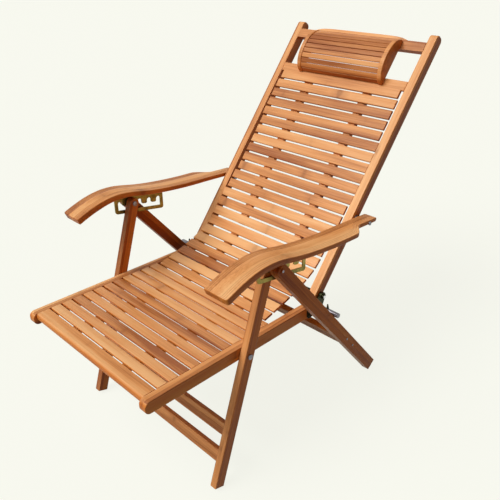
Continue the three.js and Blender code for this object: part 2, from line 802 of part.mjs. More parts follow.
// The closed loop under each arm. The crown bolt sits in one of the notches between its teeth.
function buildRacks() {
  const firstNotch = crownS - notchesInFront * notchPitch;
  const lastNotch = firstNotch + (notchCount - 1) * notchPitch;
  const half = notchWidth / 2;
  const frontS = firstNotch - half - rackBar;
  const rearS = lastNotch + half + rackBar;
  const ring = [];
  for (let i = 0; i <= rackSteps; i += 1) {
    ring.push(belowArm(frontS + ((rearS - frontS) * i) / rackSteps, fitGap));
  }
  const frontLow = belowArm(frontS, rackFrontDepth);
  const rearLow = belowArm(rearS, rackRearDepth);
  const lowAxis = rearLow.clone().sub(frontLow).normalize();
  const cornerShare = 0.3;
  const cornerIn = rackCorner * cornerShare;
  const up = new THREE.Vector2(0, 1);
  ring.push(rearLow.clone().addScaledVector(up, rackCorner));
  ring.push(rearLow.clone().addScaledVector(lowAxis, -cornerIn).addScaledVector(up, cornerIn));
  ring.push(rearLow.clone().addScaledVector(lowAxis, -rackCorner));
  ring.push(frontLow.clone().addScaledVector(lowAxis, rackCorner));
  ring.push(frontLow.clone().addScaledVector(lowAxis, cornerIn).addScaledVector(up, cornerIn));
  ring.push(frontLow.clone().addScaledVector(up, rackCorner));
  const plate = new THREE.Shape(ring.reverse());
  const tipDrop = rackTopBar + notchDepth;
  const hole = [];
  for (let i = 0; i < notchCount; i += 1) {
    const middle = firstNotch + i * notchPitch;
    const top = belowArm(middle, rackTopBar + half);
    if (i > 0) {
      hole.push(belowArm(middle - half - toothEasing, tipDrop));
      hole.push(belowArm(middle - half, tipDrop - toothEasing));
    }
    for (let k = 0; k <= notchSteps; k += 1) {
      const turn = Math.PI - (Math.PI * k) / notchSteps;
      const reach = new THREE.Vector2(Math.cos(turn), Math.sin(turn));
      hole.push(top.clone().addScaledVector(reach, half));
    }
    if (i < notchCount - 1) {
      hole.push(belowArm(middle + half, tipDrop - toothEasing));
      hole.push(belowArm(middle + half + toothEasing, tipDrop));
    }
  }
  const slotRear = rearLow.clone().addScaledVector(up, rackBar);
  const slotFront = frontLow.clone().addScaledVector(up, rackBar);
  const slotShare = rackBar / (rearS - frontS);
  hole.push(slotRear.clone().lerp(slotFront, slotShare));
  hole.push(slotFront.clone().lerp(slotRear, slotShare));
  plate.holes.push(new THREE.Path(hole));
  const rack = solidOf(sideExtrude(plate, sideStack.rackInner, sideStack.rackOuter));
  addPair(arms, "arm_rack", rack, (group, name, geometry) => addMetal(group, name, geometry, brass));
}

// The bolt that carries each arm on its stile, with the collar between them and the nut inside.
function buildArmBolts() {
  const headStart = sideStack.armInner + armTongueWidth + fitGap;
  const headEnd = headStart + armBoltHeadHeight;
  const nutEnd = sideStack.stileInner - fitGap;
  const nutStart = nutEnd - armBoltNutHeight;
  const collarStart = sideStack.stileOuter + fitGap;
  const collarEnd = sideStack.armInner - fitGap;
  const { x, y } = armBolt;
  const bolt = solidOf(crossBar(nutStart, headEnd, x, y, armBoltRadius))
    .add(solidOf(crossBar(headStart, headEnd, x, y, armBoltHeadRadius)))
    .add(solidOf(crossBar(nutStart, nutEnd, x, y, armBoltNutRadius)))
    .add(solidOf(crossBar(collarStart, collarEnd, x, y, armBoltCollarRadius)));
  addPair(arms, "arm_bolt", bolt, (group, name, geometry) => addMetal(group, name, geometry, steel));
}

buildArms();
buildRacks();
buildArmBolts();

// Front legs.
const frontLegs = new THREE.Group();
chair.add(frontLegs);
const frontReachDown = frontPivot.distanceTo(frontFoot);
const frontReachUp = frontPivot.distanceTo(crown);

function onFrontLeg(geometry) {
  geometry.rotateX(frontLegAngle);
  geometry.translate(0, frontPivot.x, frontPivot.y);
  return geometry;
}

function buildFrontLegs() {
  const half = frontLegWidth / 2;
  const radii = [0, half, half, 0];
  const outline = roundedRectangle(-frontReachDown, -half, frontReachUp + half, half, radii);
  const inner = sideStack.frontLegInner;
  const outer = sideStack.frontLegOuter;
  const blank = solidOf(onFrontLeg(sideExtrude(outline, inner, outer, legEdge, 6)));
  const bore = crossBar(
    inner - cutOverrun,
    outer + cutOverrun,
    frontPivot.x,
    frontPivot.y,
    pivotRadius + boreGap,
  );
  const headStart = inner - pivotHeadHeight;
  const head = crossBar(headStart, inner + cutOverrun, crown.x, crown.y, pivotHeadRadius);
  const leg = blank.subtract(solidOf(bore)).add(solidOf(head));
  addPair(frontLegs, "front_leg", leg, addBamboo);
}

function buildFrontStretchers() {
  const halfLength = sideStack.frontLegInner - fitGap;
  const frontFace = frontLegWidth / 2 - frontStretcherSetback;
  const radii = [stretcherEdge, stretcherEdge, stretcherEdge, stretcherEdge];
  const reaches = { upper: upperStretcherReach, lower: lowerStretcherReach };
  for (const [name, reach] of Object.entries(reaches)) {
    const outline = roundedRectangle(
      -reach - frontStretcherWidth / 2,
      frontFace - frontStretcherThickness,
      -reach + frontStretcherWidth / 2,
      frontFace,
      radii,
    );
    const geometry = onFrontLeg(sideExtrude(outline, -halfLength, halfLength, 0, 3));
    addBamboo(frontLegs, `front_stretcher_${name}`, geometry);
  }
}

buildFrontLegs();
buildFrontStretchers();

// Rear legs.
const rearLegs = new THREE.Group();
chair.add(rearLegs);

function onRearLeg(geometry) {
  geometry.rotateX(rearLegAngle);
  geometry.translate(0, crown.x, crown.y);
  return geometry;
}

function buildRearLegs() {
  const half = rearLegWidth / 2;
  const radii = [rearLegTopRadius, 0, 0, rearLegTopRadius];
  const outline = roundedRectangle(-rearLegTopRadius, -half, rearLegLength, half, radii);
  const inner = sideStack.rearLegInner;
  const outer = sideStack.rearLegOuter;
  const blank = solidOf(onRearLeg(sideExtrude(outline, inner, outer, legEdge, 6)));
  const headEnd = outer + pivotHeadHeight;
  const head = crossBar(outer - cutOverrun, headEnd, crown.x, crown.y, pivotHeadRadius);
  addPair(rearLegs, "rear_leg", blank.add(solidOf(head)), addBamboo);
}

function buildRearStretcher() {
  const halfLength = sideStack.rearLegInner - fitGap;
  const radii = [stretcherEdge, stretcherEdge, stretcherEdge, stretcherEdge];
  const outline = roundedRectangle(
    rearStretcherReach - rearStretcherWidth / 2,
    -rearStretcherThickness / 2,
    rearStretcherReach + rearStretcherWidth / 2,
    rearStretcherThickness / 2,
    radii,
  );
  const geometry = onRearLeg(sideExtrude(outline, -halfLength, halfLength, 0, 3));
  addBamboo(rearLegs, "rear_stretcher", geometry);
}

buildRearLegs();
buildRearStretcher();

// Standing on its feet.
// The floor touches the rear corner of the front foot and the front corner of the rear foot.
const frontLegNormal = new THREE.Vector2(-frontLegAxis.y, frontLegAxis.x);
const frontHeel = frontFoot.clone().addScaledVector(frontLegNormal, -frontLegWidth / 2);
const rearToe = crown
  .clone()
  .addScaledVector(rearLegAxis, rearLegLength)
  .addScaledVector(rearLegNormal, -rearLegWidth / 2);
const floorLine = rearToe.clone().sub(frontHeel);
chair.rotation.x = -Math.atan2(floorLine.y, floorLine.x);
root.updateMatrixWorld(true);
const box = new THREE.Box3().setFromObject(chair, true);
chair.position.set(0, -(box.min.y + box.max.y) / 2, -box.min.z);

export default root;
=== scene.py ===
"""Bamboo folding recliner: lacquered slats, grooved arms, brass racks, zinc-plated fasteners,
and a pale studio floor. Everything is in metres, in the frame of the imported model."""

import math

import bmesh
import bpy
from mathutils import Matrix, Vector


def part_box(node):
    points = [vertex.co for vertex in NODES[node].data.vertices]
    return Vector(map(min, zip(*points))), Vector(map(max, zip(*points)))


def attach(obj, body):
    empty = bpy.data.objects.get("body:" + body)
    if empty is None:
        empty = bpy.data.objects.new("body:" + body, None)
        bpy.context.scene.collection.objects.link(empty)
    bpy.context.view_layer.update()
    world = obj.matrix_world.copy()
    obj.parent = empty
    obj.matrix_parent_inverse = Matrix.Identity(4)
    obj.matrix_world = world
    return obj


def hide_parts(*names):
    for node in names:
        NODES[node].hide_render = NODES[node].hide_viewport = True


bl_info = {
    "name": "Bamboo Folding Recliner",
    "version": (1, 0, 0),
    "blender": (4, 5, 0),
    "location": "3D View > Sidebar > Recliner",
    "description": "Builds the slats, arms, headrest, fasteners and finishes of a bamboo recliner",
    "category": "Object",
}

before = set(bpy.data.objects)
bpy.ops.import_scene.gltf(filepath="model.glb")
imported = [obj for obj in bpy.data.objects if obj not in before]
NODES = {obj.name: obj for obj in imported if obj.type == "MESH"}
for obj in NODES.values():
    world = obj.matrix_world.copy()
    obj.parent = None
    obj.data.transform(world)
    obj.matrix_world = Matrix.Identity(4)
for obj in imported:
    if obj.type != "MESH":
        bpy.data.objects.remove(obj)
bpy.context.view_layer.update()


# Sizes of the chair.
SEAT_TILT = math.radians(-7.3938)  # the seat plane slopes down towards the rear
BACK_ANGLE = math.radians(51.9)  # back against seat plane
HINGE = Vector((0.493, 0.011))  # hinge axis in the seat's side view
SHAFT_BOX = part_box("hinge_shaft")
SHAFT = (Vector(SHAFT_BOX[0]) + Vector(SHAFT_BOX[1])) / 2
# Rear edge of the front board on the seat's face: the side view is measured from there.
SEAT_Y = SHAFT.y - HINGE.x * math.cos(SEAT_TILT) + HINGE.y * math.sin(SEAT_TILT)
SEAT_Z = SHAFT.z - HINGE.x * math.sin(SEAT_TILT) - HINGE.y * math.cos(SEAT_TILT)
FACE_OFFSET = 0.0196  # hinge axis to the face of the back slats
SEAT_PITCH = 0.0297
SEAT_COUNT = 11
BACK_PITCH = 0.02953
BACK_COUNT = 15
BOARD_FOOT = 0.5294  # lower edge of the top board, from the hinge along the back
SLAT_GAP = 0.005
LUMBAR_COUNT = 7
LUMBAR_START = math.radians(14)
LUMBAR_HANDLES = (0.070, 0.060)
HEADREST_FEET = (0.556, 0.684)  # lower and upper edge of the headrest along the back
HEADREST_HEIGHT = 0.0395
HEADREST_LENGTH = 0.282
HEADREST_SEAT = FACE_OFFSET + 0.0003  # the caps stand a hair off the slats behind them
HEADREST_GAP = 0.0016
HEADREST_SLAT = (0.005, 0.0012)  # thickness and edge radius
SLAT_IN_CAP = 0.003  # the thin slats run this far into each cap
CAP_THICKNESS = 0.0125
CAP_RIM = 0.0022  # the caps stand this far above the slats between them
CAP_EDGE = 0.0016
CAP_TONE = 0.35
ARM_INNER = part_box("armrest_right")[0][0]
ARM_OUTER = 0.300
ARM_FRONT, ARM_REAR = 0.1155, 0.652
ARM_FRONT_HEIGHT = 0.191
ARM_RISE = 0.0315
ARM_THICKNESS = 0.017
ARM_TONGUE = 0.036
ARM_STEP = (0.530, 0.584)
ARM_CORNER = 0.006
ARM_EDGE = 0.0026
ARM_END_EDGE = 0.0012
ARM_GROOVES_INNER = (0.0075, 0.0125, 0.0175)  # from the inner edge of the top
ARM_GROOVES_OUTER = (0.0170, 0.0120, 0.0070)  # from the outer edge
# Cut wider than the real hair-fine lines, so that they still show from a few steps away.
ARM_GROOVE_WIDTH = 0.0013
ARM_NOSE = (0.0, 0.001, 0.0025, 0.0045, 0.007, 0.0095, 0.012)  # close steps round the front
ARM_STEPS = 120
ARM_TOP = (
    (0, 0), (0.045, 0.32), (0.1, 0.65), (0.155, 0.88), (0.21, 0.99), (0.265, 0.97),
    (0.32, 0.83), (0.4, 0.55), (0.49, 0.32), (0.585, 0.15), (0.68, 0.03), (0.79, -0.05),
    (0.9, -0.15), (1, -0.25),
)
ARM_THINNING = (
    (0, 1), (0.12, 1), (0.3, 0.79), (0.45, 0.74), (0.85, 0.68), (0.96, 0.66), (1, 0.6),
)
CROWN = Vector((0.2857, 0.183))
FRONT_FOOT = Vector((0.1187, -0.340))
FRONT_PIVOT_HEIGHT = -0.019
REAR_LEG_ANGLE = math.radians(-49.8)
FRONT_LEG_X = (0.2355, 0.2545)
REAR_LEG_X = (0.266, 0.288)
REAR_STRETCHER_REACH = 0.411
REST_ROD_REACH = 0.279  # crown bolt to the rod, along the rear leg
REST_ROD_RISE = 0.0223  # middle line of the rear leg to the middle of the rod
REST_ROD_RADIUS = 0.0062
REST_ROD_END = 0.2965
REST_ROD_EDGE = 0.0012
CATCH_X = (0.2612, 0.2636)
CATCH_TIP = Vector((-0.0015, 0.0195))  # from the middle of the rod
CATCH_TIP_HALF = Vector((0.0012, 0))
CATCH_FEET = (Vector((-0.0050, 0.0030)), Vector((0.0050, 0.0030)))
CATCH_EDGE = 0.0004
STRIP_REACH = REAR_STRETCHER_REACH + 0.0318
STRIP_DEPTH = 0.012
STRIP_HALF = 0.0075
STRIP_PLAY = 0.0003
STRIP_EDGE = 0.0015
SHAFT_END = SHAFT_BOX[1][0]
PIVOT_HEAD_HEIGHT = 0.0036
PIVOT_HEAD_GAP = 0.0003
CROWN_HEAD = (0.0046, 0.0024)  # radius and height of the heads outside the rear legs
SHAFT_HEAD = (0.0043, 0.0022)
SCREW_HEAD_HEIGHT = 0.0012
HEAD_BODY = 1.25  # whole height of a head over the height that shows
HEAD_FALL, HEAD_LIFT, DOME_POWER = -0.28, 0.3, 3.0
HEAD_SIDES, HEAD_RINGS = 28, 5
SCREW_PLACES = (REAR_STRETCHER_REACH - 0.021, REAR_STRETCHER_REACH + 0.021)
SIDES = (("right", 1), ("left", -1))
SEAT_SLATS = ["seat_slat_%02d" % (i + 1) for i in range(SEAT_COUNT)]
LUMBAR_SLATS = ["seat_slat_%02d" % (SEAT_COUNT + i + 1) for i in range(LUMBAR_COUNT)]
BACK_SLATS = ["back_slat_%02d" % (i + 1) for i in range(BACK_COUNT)]

# Patterns of the finishes. Fibres and brushing are drawn several times as coarse as the real
# ones, so that they show.
FIBRE_LENGTH, FIBRE_WIDTH = 0.111, 0.00238
CLOUD_LENGTH, CLOUD_WIDTH = 0.333, 0.0263  # slow changes of tone along a strip
NODE_SPACING = 0.435  # one node of the cane to the next
NODE_SHADE, NODE_RING = 0.03045, 0.00696  # the soft shade at a node, and the line in it
STRIP_LAYER = 1.7  # thickness of a glued strip over its width
BRUSHING = 0.00111
PATINA_PATCH = 0.0167
NOISE_RANGE = (0.3, 0.7)  # holds nearly all of a noise
TONE_SPREAD = 0.74  # lightest to darkest strip, as a share of the colour ramp
CLOUD_TONES, FIBRE_TONES = (0.18, 0.74), (-0.16, 0.16)
MIDDLE_STOP = 0.45
LAYER_CODE = 17.0  # keeps the codes of neighbouring layers of strips apart
NODE_PHASE, NODE_CHANCE = 7.31, 13.7  # scatter the nodes' places and strengths over the tones
NODE_WOBBLE = 0.07
# The last value is how dark the painted shade in the arm's grooves is.
SHADE_DEPTH, RING_DEPTH, GROOVE_PAINTED_SHADE = 0.6, 0.42, 0.35
# Painted shade on the sides and ends: full at the first value, gone at the second.
SHADED_SIDE_FACE, BROAD_FACE = 0.45, 0.9  # how squarely such a face looks up or down
LACQUER_ROUGHNESS = (0.42, 0.58)
COAT_ROUGHNESS = 0.16
FIBRE_RELIEF, BRUSHED_RELIEF = 0.0002, 0.00005

# The camera, fitted to the photograph in the seat's own frame.
PHOTO_SIDE = 500
FOCAL_LENGTH = 606.22  # in the photograph's pixels
SENSOR = 36.0
CAMERA_RIGHT = Vector((0.70629, 0.70789, -0.00718))
CAMERA_BEHIND = Vector((0.63303, -0.62698, 0.45407))
CAMERA_X, CAMERA_PLACE = 1.02242, (-0.53648, 0.79402)
NEAREST, FURTHEST = 0.05, 80
FLOOR_HALF, FLOOR_DROP = 30, 0.0005
FLOOR_GLOW = 0.9  # share of the floor's colour that hides the shadow
SKY_LIGHT = 0.17
LAMPS = (  # name, where from, strength, angle it spreads over
    ("Soft key", (-0.36, -0.62, 1.1), 2.6, 0.7),
    ("Soft fill", (-0.4, -1.0, 0.6), 0.15, 1.2),
)


def srgb(code):
    """A colour written as RRGGBB, in the linear values that shaders read."""
    parts = [int(code[i:i + 2], 16) / 255 for i in (0, 2, 4)]
    return tuple(c / 12.92 if c <= 0.04045 else ((c + 0.055) / 1.055) ** 2.4 for c in parts)


def side_point(x, place):
    """A point of the seat's side view (along the seat, above its face) at x, in the row frame."""
    s, h = place
    c, d = math.cos(SEAT_TILT), math.sin(SEAT_TILT)
    return Vector((x, SEAT_Y + s * c - h * d, SEAT_Z + s * d + h * c))


def heading(angle):
    """One metre along the side view, at an angle above the seat plane."""
    return Vector((math.cos(angle), math.sin(angle)))


def square_to(step):
    """The side view's step turned a quarter, away from the seat."""
    return Vector((-step.y, step.x))


def back_place(reach, offset):
    """A point of the side view from its reach along the back and its offset in front of it."""
    along = heading(BACK_ANGLE)
    return HINGE + along * reach + square_to(along) * offset


def rear_leg_place(reach, offset=0.0):
    """A point of the side view from its reach down the rear leg and its offset above it."""
    along = heading(REAR_LEG_ANGLE)
    return CROWN + along * reach + square_to(along) * offset


# The user's settings.
class ReclinerSizes(bpy.types.PropertyGroup):
    """Sizes of slats, grooves and fasteners"""

    slat_thickness: bpy.props.FloatProperty(
        name="Slat thickness", description="Thickness of the seat and back slats",
        default=0.0065, unit="LENGTH")
    slat_edge: bpy.props.FloatProperty(
        name="Slat edge radius", description="Rounding of the slats' long edges",
        default=0.0016, unit="LENGTH")
    headrest_slats: bpy.props.IntProperty(
        name="Headrest slats", description="Thin slats round the headrest", default=11)
    groove_depth: bpy.props.FloatProperty(
        name="Groove depth", description="Depth of the fine grooves along the arms",
        default=0.0005, unit="LENGTH")
    bolt_radius: bpy.props.FloatProperty(
        name="Bolt head radius", description="Radius of the domed pivot bolt heads",
        default=0.0064, unit="LENGTH")
    screw_radius: bpy.props.FloatProperty(
        name="Screw head radius", description="Radius of the small screw heads",
        default=0.0030, unit="LENGTH")
    tone_seed: bpy.props.IntProperty(
        name="Tone seed", description="Chooses the light and dark slats", default=7)


class ReclinerColours(bpy.types.PropertyGroup):
    """Colours of the bamboo, the metals and the backdrop"""

    light: bpy.props.FloatVectorProperty(
        name="Light bamboo", description="Palest strips of the lacquered bamboo",
        default=srgb("F4BB80"), subtype="COLOR", size=3)
    middle: bpy.props.FloatVectorProperty(
        name="Middle bamboo", description="Most of the lacquered bamboo",
        default=srgb("E19B5D"), subtype="COLOR", size=3)
    dark: bpy.props.FloatVectorProperty(
        name="Dark bamboo", description="Darkest strips and the node bands",
        default=srgb("A05A2A"), subtype="COLOR", size=3)
    brass: bpy.props.FloatVectorProperty(
        name="Rack plating", description="Antique brass of the arm racks",
        default=srgb("9A8A48"), subtype="COLOR", size=3)
    steel: bpy.props.FloatVectorProperty(
        name="Steel", description="Zinc plating of bolts and rod",
        default=srgb("8C8A92"), subtype="COLOR", size=3)
    backdrop: bpy.props.FloatVectorProperty(
        name="Backdrop", description="Pale floor and background",
        default=srgb("F9FAF1"), subtype="COLOR", size=3)


# Kinds of node that are used many times.
MATH = "ShaderNodeMath"
MIX = "ShaderNodeMix"
RANGE = "ShaderNodeMapRange"
NOISE = "ShaderNodeTexNoise"
MAPPING = "ShaderNodeMapping"
AXES = "ShaderNodeSeparateXYZ"
VECTOR = "ShaderNodeCombineXYZ"
ATTRIBUTE = "GeometryNodeInputNamedAttribute"


def add_node(tree, kind, inputs=(), **settings):
    """Adds one node, sets its settings, and fills or links its inputs, given by name or in order.
    A node that is given as an input is linked by its first output."""
    node = tree.nodes.new(kind)
    for key, value in settings.items():
        setattr(node, key, value)
    for key, value in inputs.items() if isinstance(inputs, dict) else enumerate(inputs):
        if isinstance(value, bpy.types.Node):
            value = value.outputs[0]
        if isinstance(value, bpy.types.NodeSocket):
            tree.links.new(value, node.inputs[key])
        else:
            node.inputs[key].default_value = value
    return node


def new_material(name):
    """An empty material with its shader and output joined."""
    material = bpy.data.materials.new(name)
    material.use_nodes = True
    tree = material.node_tree
    tree.nodes.clear()
    shader = add_node(tree, "ShaderNodeBsdfPrincipled")
    add_node(tree, "ShaderNodeOutputMaterial", {"Surface": shader.outputs[0]})
    return material, tree, shader


# Materials.
def grain_scale(along, length, width):
    """The scale of a pattern whose marks are this long with the fibres and this wide."""
    slow, quick = 1 / length, 1 / width
    return (slow, quick, quick) if along == "X" else (quick, slow, quick)


def lacquered_bamboo(name, along, tilt=0.0, strip=0.0, tone=0.0, bands=0.75, grooves=False,
                     gloss=0.06, shine=0.28):
    """Bamboo strips, glued, planed and lacquered: straight fibres under a soft sheen, a tone of
    its own on every strip, and a brown band where a strip has a node.

    along is the axis of the fibres after the turn by tilt about X. strip is the width of the
    glued strips, or 0 where each slat has its own tone. gloss is the weight of the lacquer, and
    shine says how much the bare bamboo reflects."""
    found = bpy.data.materials.get(name)
    if found:
        return found
    colours = bpy.context.scene.recliner_colours
    material, tree, shader = new_material(name)
    coordinates = add_node(tree, "ShaderNodeTexCoord").outputs
    turned = add_node(tree, MAPPING, {
        "Vector": coordinates["Object"], "Rotation": (-tilt, 0, 0)})
    axes = add_node(tree, AXES, [turned]).outputs
    length, across = (axes["X"], axes["Y"]) if along == "X" else (axes["Y"], axes["X"])
    if strip:
        row = add_node(tree, MATH, [across, strip], operation="DIVIDE")
        row = add_node(tree, MATH, [row], operation="FLOOR")
        # The arms are bent from strips that lie side by side, not one above the other.
        layer = 1.0 if grooves else strip * STRIP_LAYER
        column = add_node(tree, MATH, [axes["Z"], layer], operation="DIVIDE")
        column = add_node(tree, MATH, [column], operation="FLOOR")
        code = add_node(tree, MATH, [column, LAYER_CODE, row], operation="MULTIPLY_ADD")
        own_tone = add_node(tree, "ShaderNodeTexWhiteNoise", {"W": code},
                            noise_dimensions="1D").outputs["Value"]
    else:
        own_tone = add_node(tree, "ShaderNodeAttribute", attribute_name="slat_tone").outputs["Fac"]

    # Fibres are long fine streaks, and clouds are slow changes of tone along a strip.
    fine = add_node(tree, MAPPING, {
        "Vector": turned, "Scale": grain_scale(along, FIBRE_LENGTH, FIBRE_WIDTH)})
    fibres = add_node(tree, NOISE, {
        "Vector": fine, "Scale": 1.0, "Detail": 4.0, "Roughness": 0.65})
    broad = add_node(tree, MAPPING, {
        "Vector": turned, "Scale": grain_scale(along, CLOUD_LENGTH, CLOUD_WIDTH)})
    clouds = add_node(tree, NOISE, {
        "Vector": broad, "Scale": 1.0, "Detail": 3.0, "Roughness": 0.5})

    # Tone: each strip or slat has its own, with the clouds and the fibres over it.
    share = add_node(tree, MATH, [own_tone, TONE_SPREAD, tone - TONE_SPREAD / 2],
                     operation="MULTIPLY_ADD")
    for marks, tones in ((clouds, CLOUD_TONES), (fibres, FIBRE_TONES)):
        part = add_node(tree, RANGE, [marks, *NOISE_RANGE, *tones])
        share = add_node(tree, MATH, [share, part], operation="ADD")
    ramp = add_node(tree, "ShaderNodeValToRGB", [share])
    stops = ramp.color_ramp.elements
    stops[0].position, stops[0].color = 0.0, (*colours.light, 1)
    stops[1].position, stops[1].color = 1.0, (*colours.dark, 1)
    stops.new(MIDDLE_STOP).color = (*colours.middle, 1)

    # Node bands: a soft brown shade, at another place on every strip, strong on some of them.
    phase = add_node(tree, MATH, [own_tone, NODE_PHASE, 0.2], operation="MULTIPLY_ADD")
    off = add_node(tree, MATH, [length, 1 / NODE_SPACING, phase], operation="MULTIPLY_ADD")
    off = add_node(tree, MATH, [off], operation="FRACT")
    off = add_node(tree, MATH, [off, 0.5], operation="SUBTRACT")
    off = add_node(tree, MATH, [off], operation="ABSOLUTE")
    wobble = add_node(tree, MATH, [clouds, NODE_WOBBLE, -NODE_WOBBLE / 2],
                      operation="MULTIPLY_ADD")
    off = add_node(tree, MATH, [off, wobble], operation="ADD")
    strength = add_node(tree, MATH, [own_tone, NODE_CHANCE], operation="MULTIPLY")
    strength = add_node(tree, MATH, [strength], operation="FRACT")
    strength = add_node(tree, RANGE, [strength, 0.15, 0.85, 0.0, bands])
    colour = ramp
    for width, depth, brown in ((NODE_SHADE, SHADE_DEPTH, colours.dark),
                                (NODE_RING, RING_DEPTH, srgb("6E3A17"))):
        band = add_node(tree, RANGE, [off, 0.0, width / NODE_SPACING, 1.0, 0.0])
        band = add_node(tree, MATH, [band, strength], operation="MULTIPLY")
        band = add_node(tree, MATH, [band, depth], operation="MULTIPLY")
        colour = add_node(tree, MIX, {0: band, 6: colour, 7: (*brown, 1)},
                          data_type="RGBA").outputs[2]

    # Painted shade: the sides and ends, which face neither up nor down, are multiplied to a deeper
    # brown than the broad faces, whichever way the light falls.
    facing = add_node(tree, MAPPING, {
        "Vector": coordinates["Normal"], "Rotation": (-tilt, 0, 0)})
    up = add_node(tree, AXES, [facing]).outputs["Z"]
    up = add_node(tree, MATH, [up], operation="ABSOLUTE")
    side = add_node(tree, RANGE, [up, SHADED_SIDE_FACE, BROAD_FACE, 1.0, 0.0])
    colour = add_node(tree, MIX, {0: side, 6: colour, 7: (*srgb("EFC98A"), 1)},
                      data_type="RGBA", blend_type="MULTIPLY").outputs[2]

    if grooves:
        # Painted shade: fine dark lines laid in the arm's cut grooves, where shade falls.
        groove = add_node(tree, "ShaderNodeAttribute", attribute_name="groove").outputs["Fac"]
        groove = add_node(tree, MATH, [groove, GROOVE_PAINTED_SHADE], operation="MULTIPLY")
        colour = add_node(tree, MIX, {0: groove, 6: colour, 7: (*srgb("6E3A14"), 1)},
                          data_type="RGBA").outputs[2]
    tree.links.new(colour, shader.inputs["Base Color"])
    rough = add_node(tree, RANGE, [fibres, 0.25, 0.75, *LACQUER_ROUGHNESS])
    tree.links.new(rough.outputs[0], shader.inputs["Roughness"])
    shader.inputs["Coat Weight"].default_value = gloss
    shader.inputs["Specular IOR Level"].default_value = shine
    shader.inputs["Coat Roughness"].default_value = COAT_ROUGHNESS
    bump = add_node(tree, "ShaderNodeBump", {
        "Height": fibres, "Strength": 0.25, "Distance": FIBRE_RELIEF})
    tree.links.new(bump.outputs[0], shader.inputs["Normal"])
    return material


def plated_metal(name, colour, rough, patina=0.0, patina_colour=(0, 0, 0)):
    """Plated steel: fine brushing that blurs what it mirrors, and a patina in patches."""
    found = bpy.data.materials.get(name)
    if found:
        return found
    material, tree, shader = new_material(name)
    place = add_node(tree, "ShaderNodeTexCoord").outputs["Object"]
    fine = add_node(tree, NOISE, {"Vector": place, "Scale": 1 / BRUSHING, "Detail": 3.0})
    patches = add_node(tree, NOISE, {
        "Vector": place, "Scale": 1 / PATINA_PATCH, "Detail": 4.0, "Roughness": 0.6})
    share = add_node(tree, RANGE, [patches, 0.38, 0.66, 0.0, patina])
    tint = add_node(tree, MIX, {0: share, 6: (*colour, 1), 7: (*patina_colour, 1)},
                    data_type="RGBA").outputs[2]
    tree.links.new(tint, shader.inputs["Base Color"])
    shader.inputs["Metallic"].default_value = 1.0
    roughness = add_node(tree, RANGE, [fine, *NOISE_RANGE, rough - 0.06, rough + 0.1])
    tree.links.new(roughness.outputs[0], shader.inputs["Roughness"])
    bump = add_node(tree, "ShaderNodeBump", {
        "Height": fine, "Strength": 0.15, "Distance": BRUSHED_RELIEF})
    tree.links.new(bump.outputs[0], shader.inputs["Normal"])
    return material


def front_leg_run():
    """The side view's step from the front foot to the crown bolt."""
    return CROWN - FRONT_FOOT


def bamboo_for(kind):
    """The bamboo finish of one kind of piece, its grain along that piece."""
    back_tilt = SEAT_TILT + BACK_ANGLE
    front = front_leg_run()
    front_tilt = SEAT_TILT + math.atan2(front.y, front.x)
    rear_tilt = SEAT_TILT + REAR_LEG_ANGLE
    kinds = {
        "seat slats": dict(along="X", tilt=SEAT_TILT, tone=-0.04, gloss=0.3),
        "back slats": dict(along="X", tilt=back_tilt, tone=0.03),
        "headrest": dict(along="X", tilt=back_tilt, tone=0.16, bands=0.3),
        "seat rails": dict(along="Y", tilt=SEAT_TILT, strip=0.0107, tone=0.06),
        "stiles": dict(along="Y", tilt=back_tilt, strip=0.0086, tone=0.04),
        "boards": dict(along="X", tilt=back_tilt, strip=0.016, tone=0.02),
        "front board": dict(along="X", tilt=SEAT_TILT, strip=0.018, tone=0.18),
        "front legs": dict(along="Y", tilt=front_tilt, strip=0.0095, tone=0.34),
        "front stretchers": dict(along="X", tilt=front_tilt, strip=0.015, tone=0.12),
        "rear legs": dict(along="Y", tilt=rear_tilt, strip=0.011, tone=0.26, shine=0.15),
        "rear stretcher": dict(along="X", tilt=rear_tilt, strip=0.016, tone=0.3, gloss=0.0,
                               shine=0.04),
        "seat battens": dict(along="Y", tilt=SEAT_TILT, strip=0.012, tone=0.3),
        "back battens": dict(along="Y", tilt=back_tilt, strip=0.012, tone=0.3),
        "arms": dict(along="Y", tilt=SEAT_TILT, strip=0.023, tone=0.02, grooves=True),
    }
    return lacquered_bamboo("Lacquered bamboo, " + kind, **kinds[kind])


def brass_finish():
    """Antique brass plating on stamped steel: a dull olive gold that darkens in patches."""
    colours = bpy.context.scene.recliner_colours
    return plated_metal("Antique brass plating", colours.brass, 0.36, 0.7, srgb("4B4424"))


def oxide_finish():
    """Oiled black oxide on steel: nearly black with a green cast and a low oily gleam."""
    return plated_metal("Black-oxide steel, oiled", srgb("3A3B26"), 0.42, 0.5, srgb("23241A"))


def steel_finish():
    """Zinc plating that has dulled: a grey sheen with darker patches."""
    colours = bpy.context.scene.recliner_colours
    return plated_metal("Zinc-plated steel, dulled", colours.steel, 0.38, 0.5, srgb("4A4850"))


def bright_finish():
    """New zinc plating: a pale bolt head with a clear glint."""
    return plated_metal("Zinc-plated steel, bright", srgb("E2E2E6"), 0.2)


# Geometry Nodes trees.
def new_geometry_tree(name, sockets):
    """A geometry tree with its named inputs; returns the tree and its group input."""
    tree = bpy.data.node_groups.new(name, "GeometryNodeTree")
    tree.interface.new_socket("Geometry", in_out="INPUT", socket_type="NodeSocketGeometry")
    for label, kind in sockets:
        tree.interface.new_socket(label, in_out="INPUT", socket_type="NodeSocket" + kind)
    tree.interface.new_socket("Geometry", in_out="OUTPUT", socket_type="NodeSocketGeometry")
    return tree, add_node(tree, "NodeGroupInput")


def finish_tree(tree, instances, given):
    """Ends a tree in Realize Instances and Set Material."""
    real = add_node(tree, "GeometryNodeRealizeInstances", {"Geometry": instances})
    painted = add_node(tree, "GeometryNodeSetMaterial", {
        "Geometry": real, "Material": given.outputs["Material"]})
    add_node(tree, "NodeGroupOutput", {"Geometry": painted})


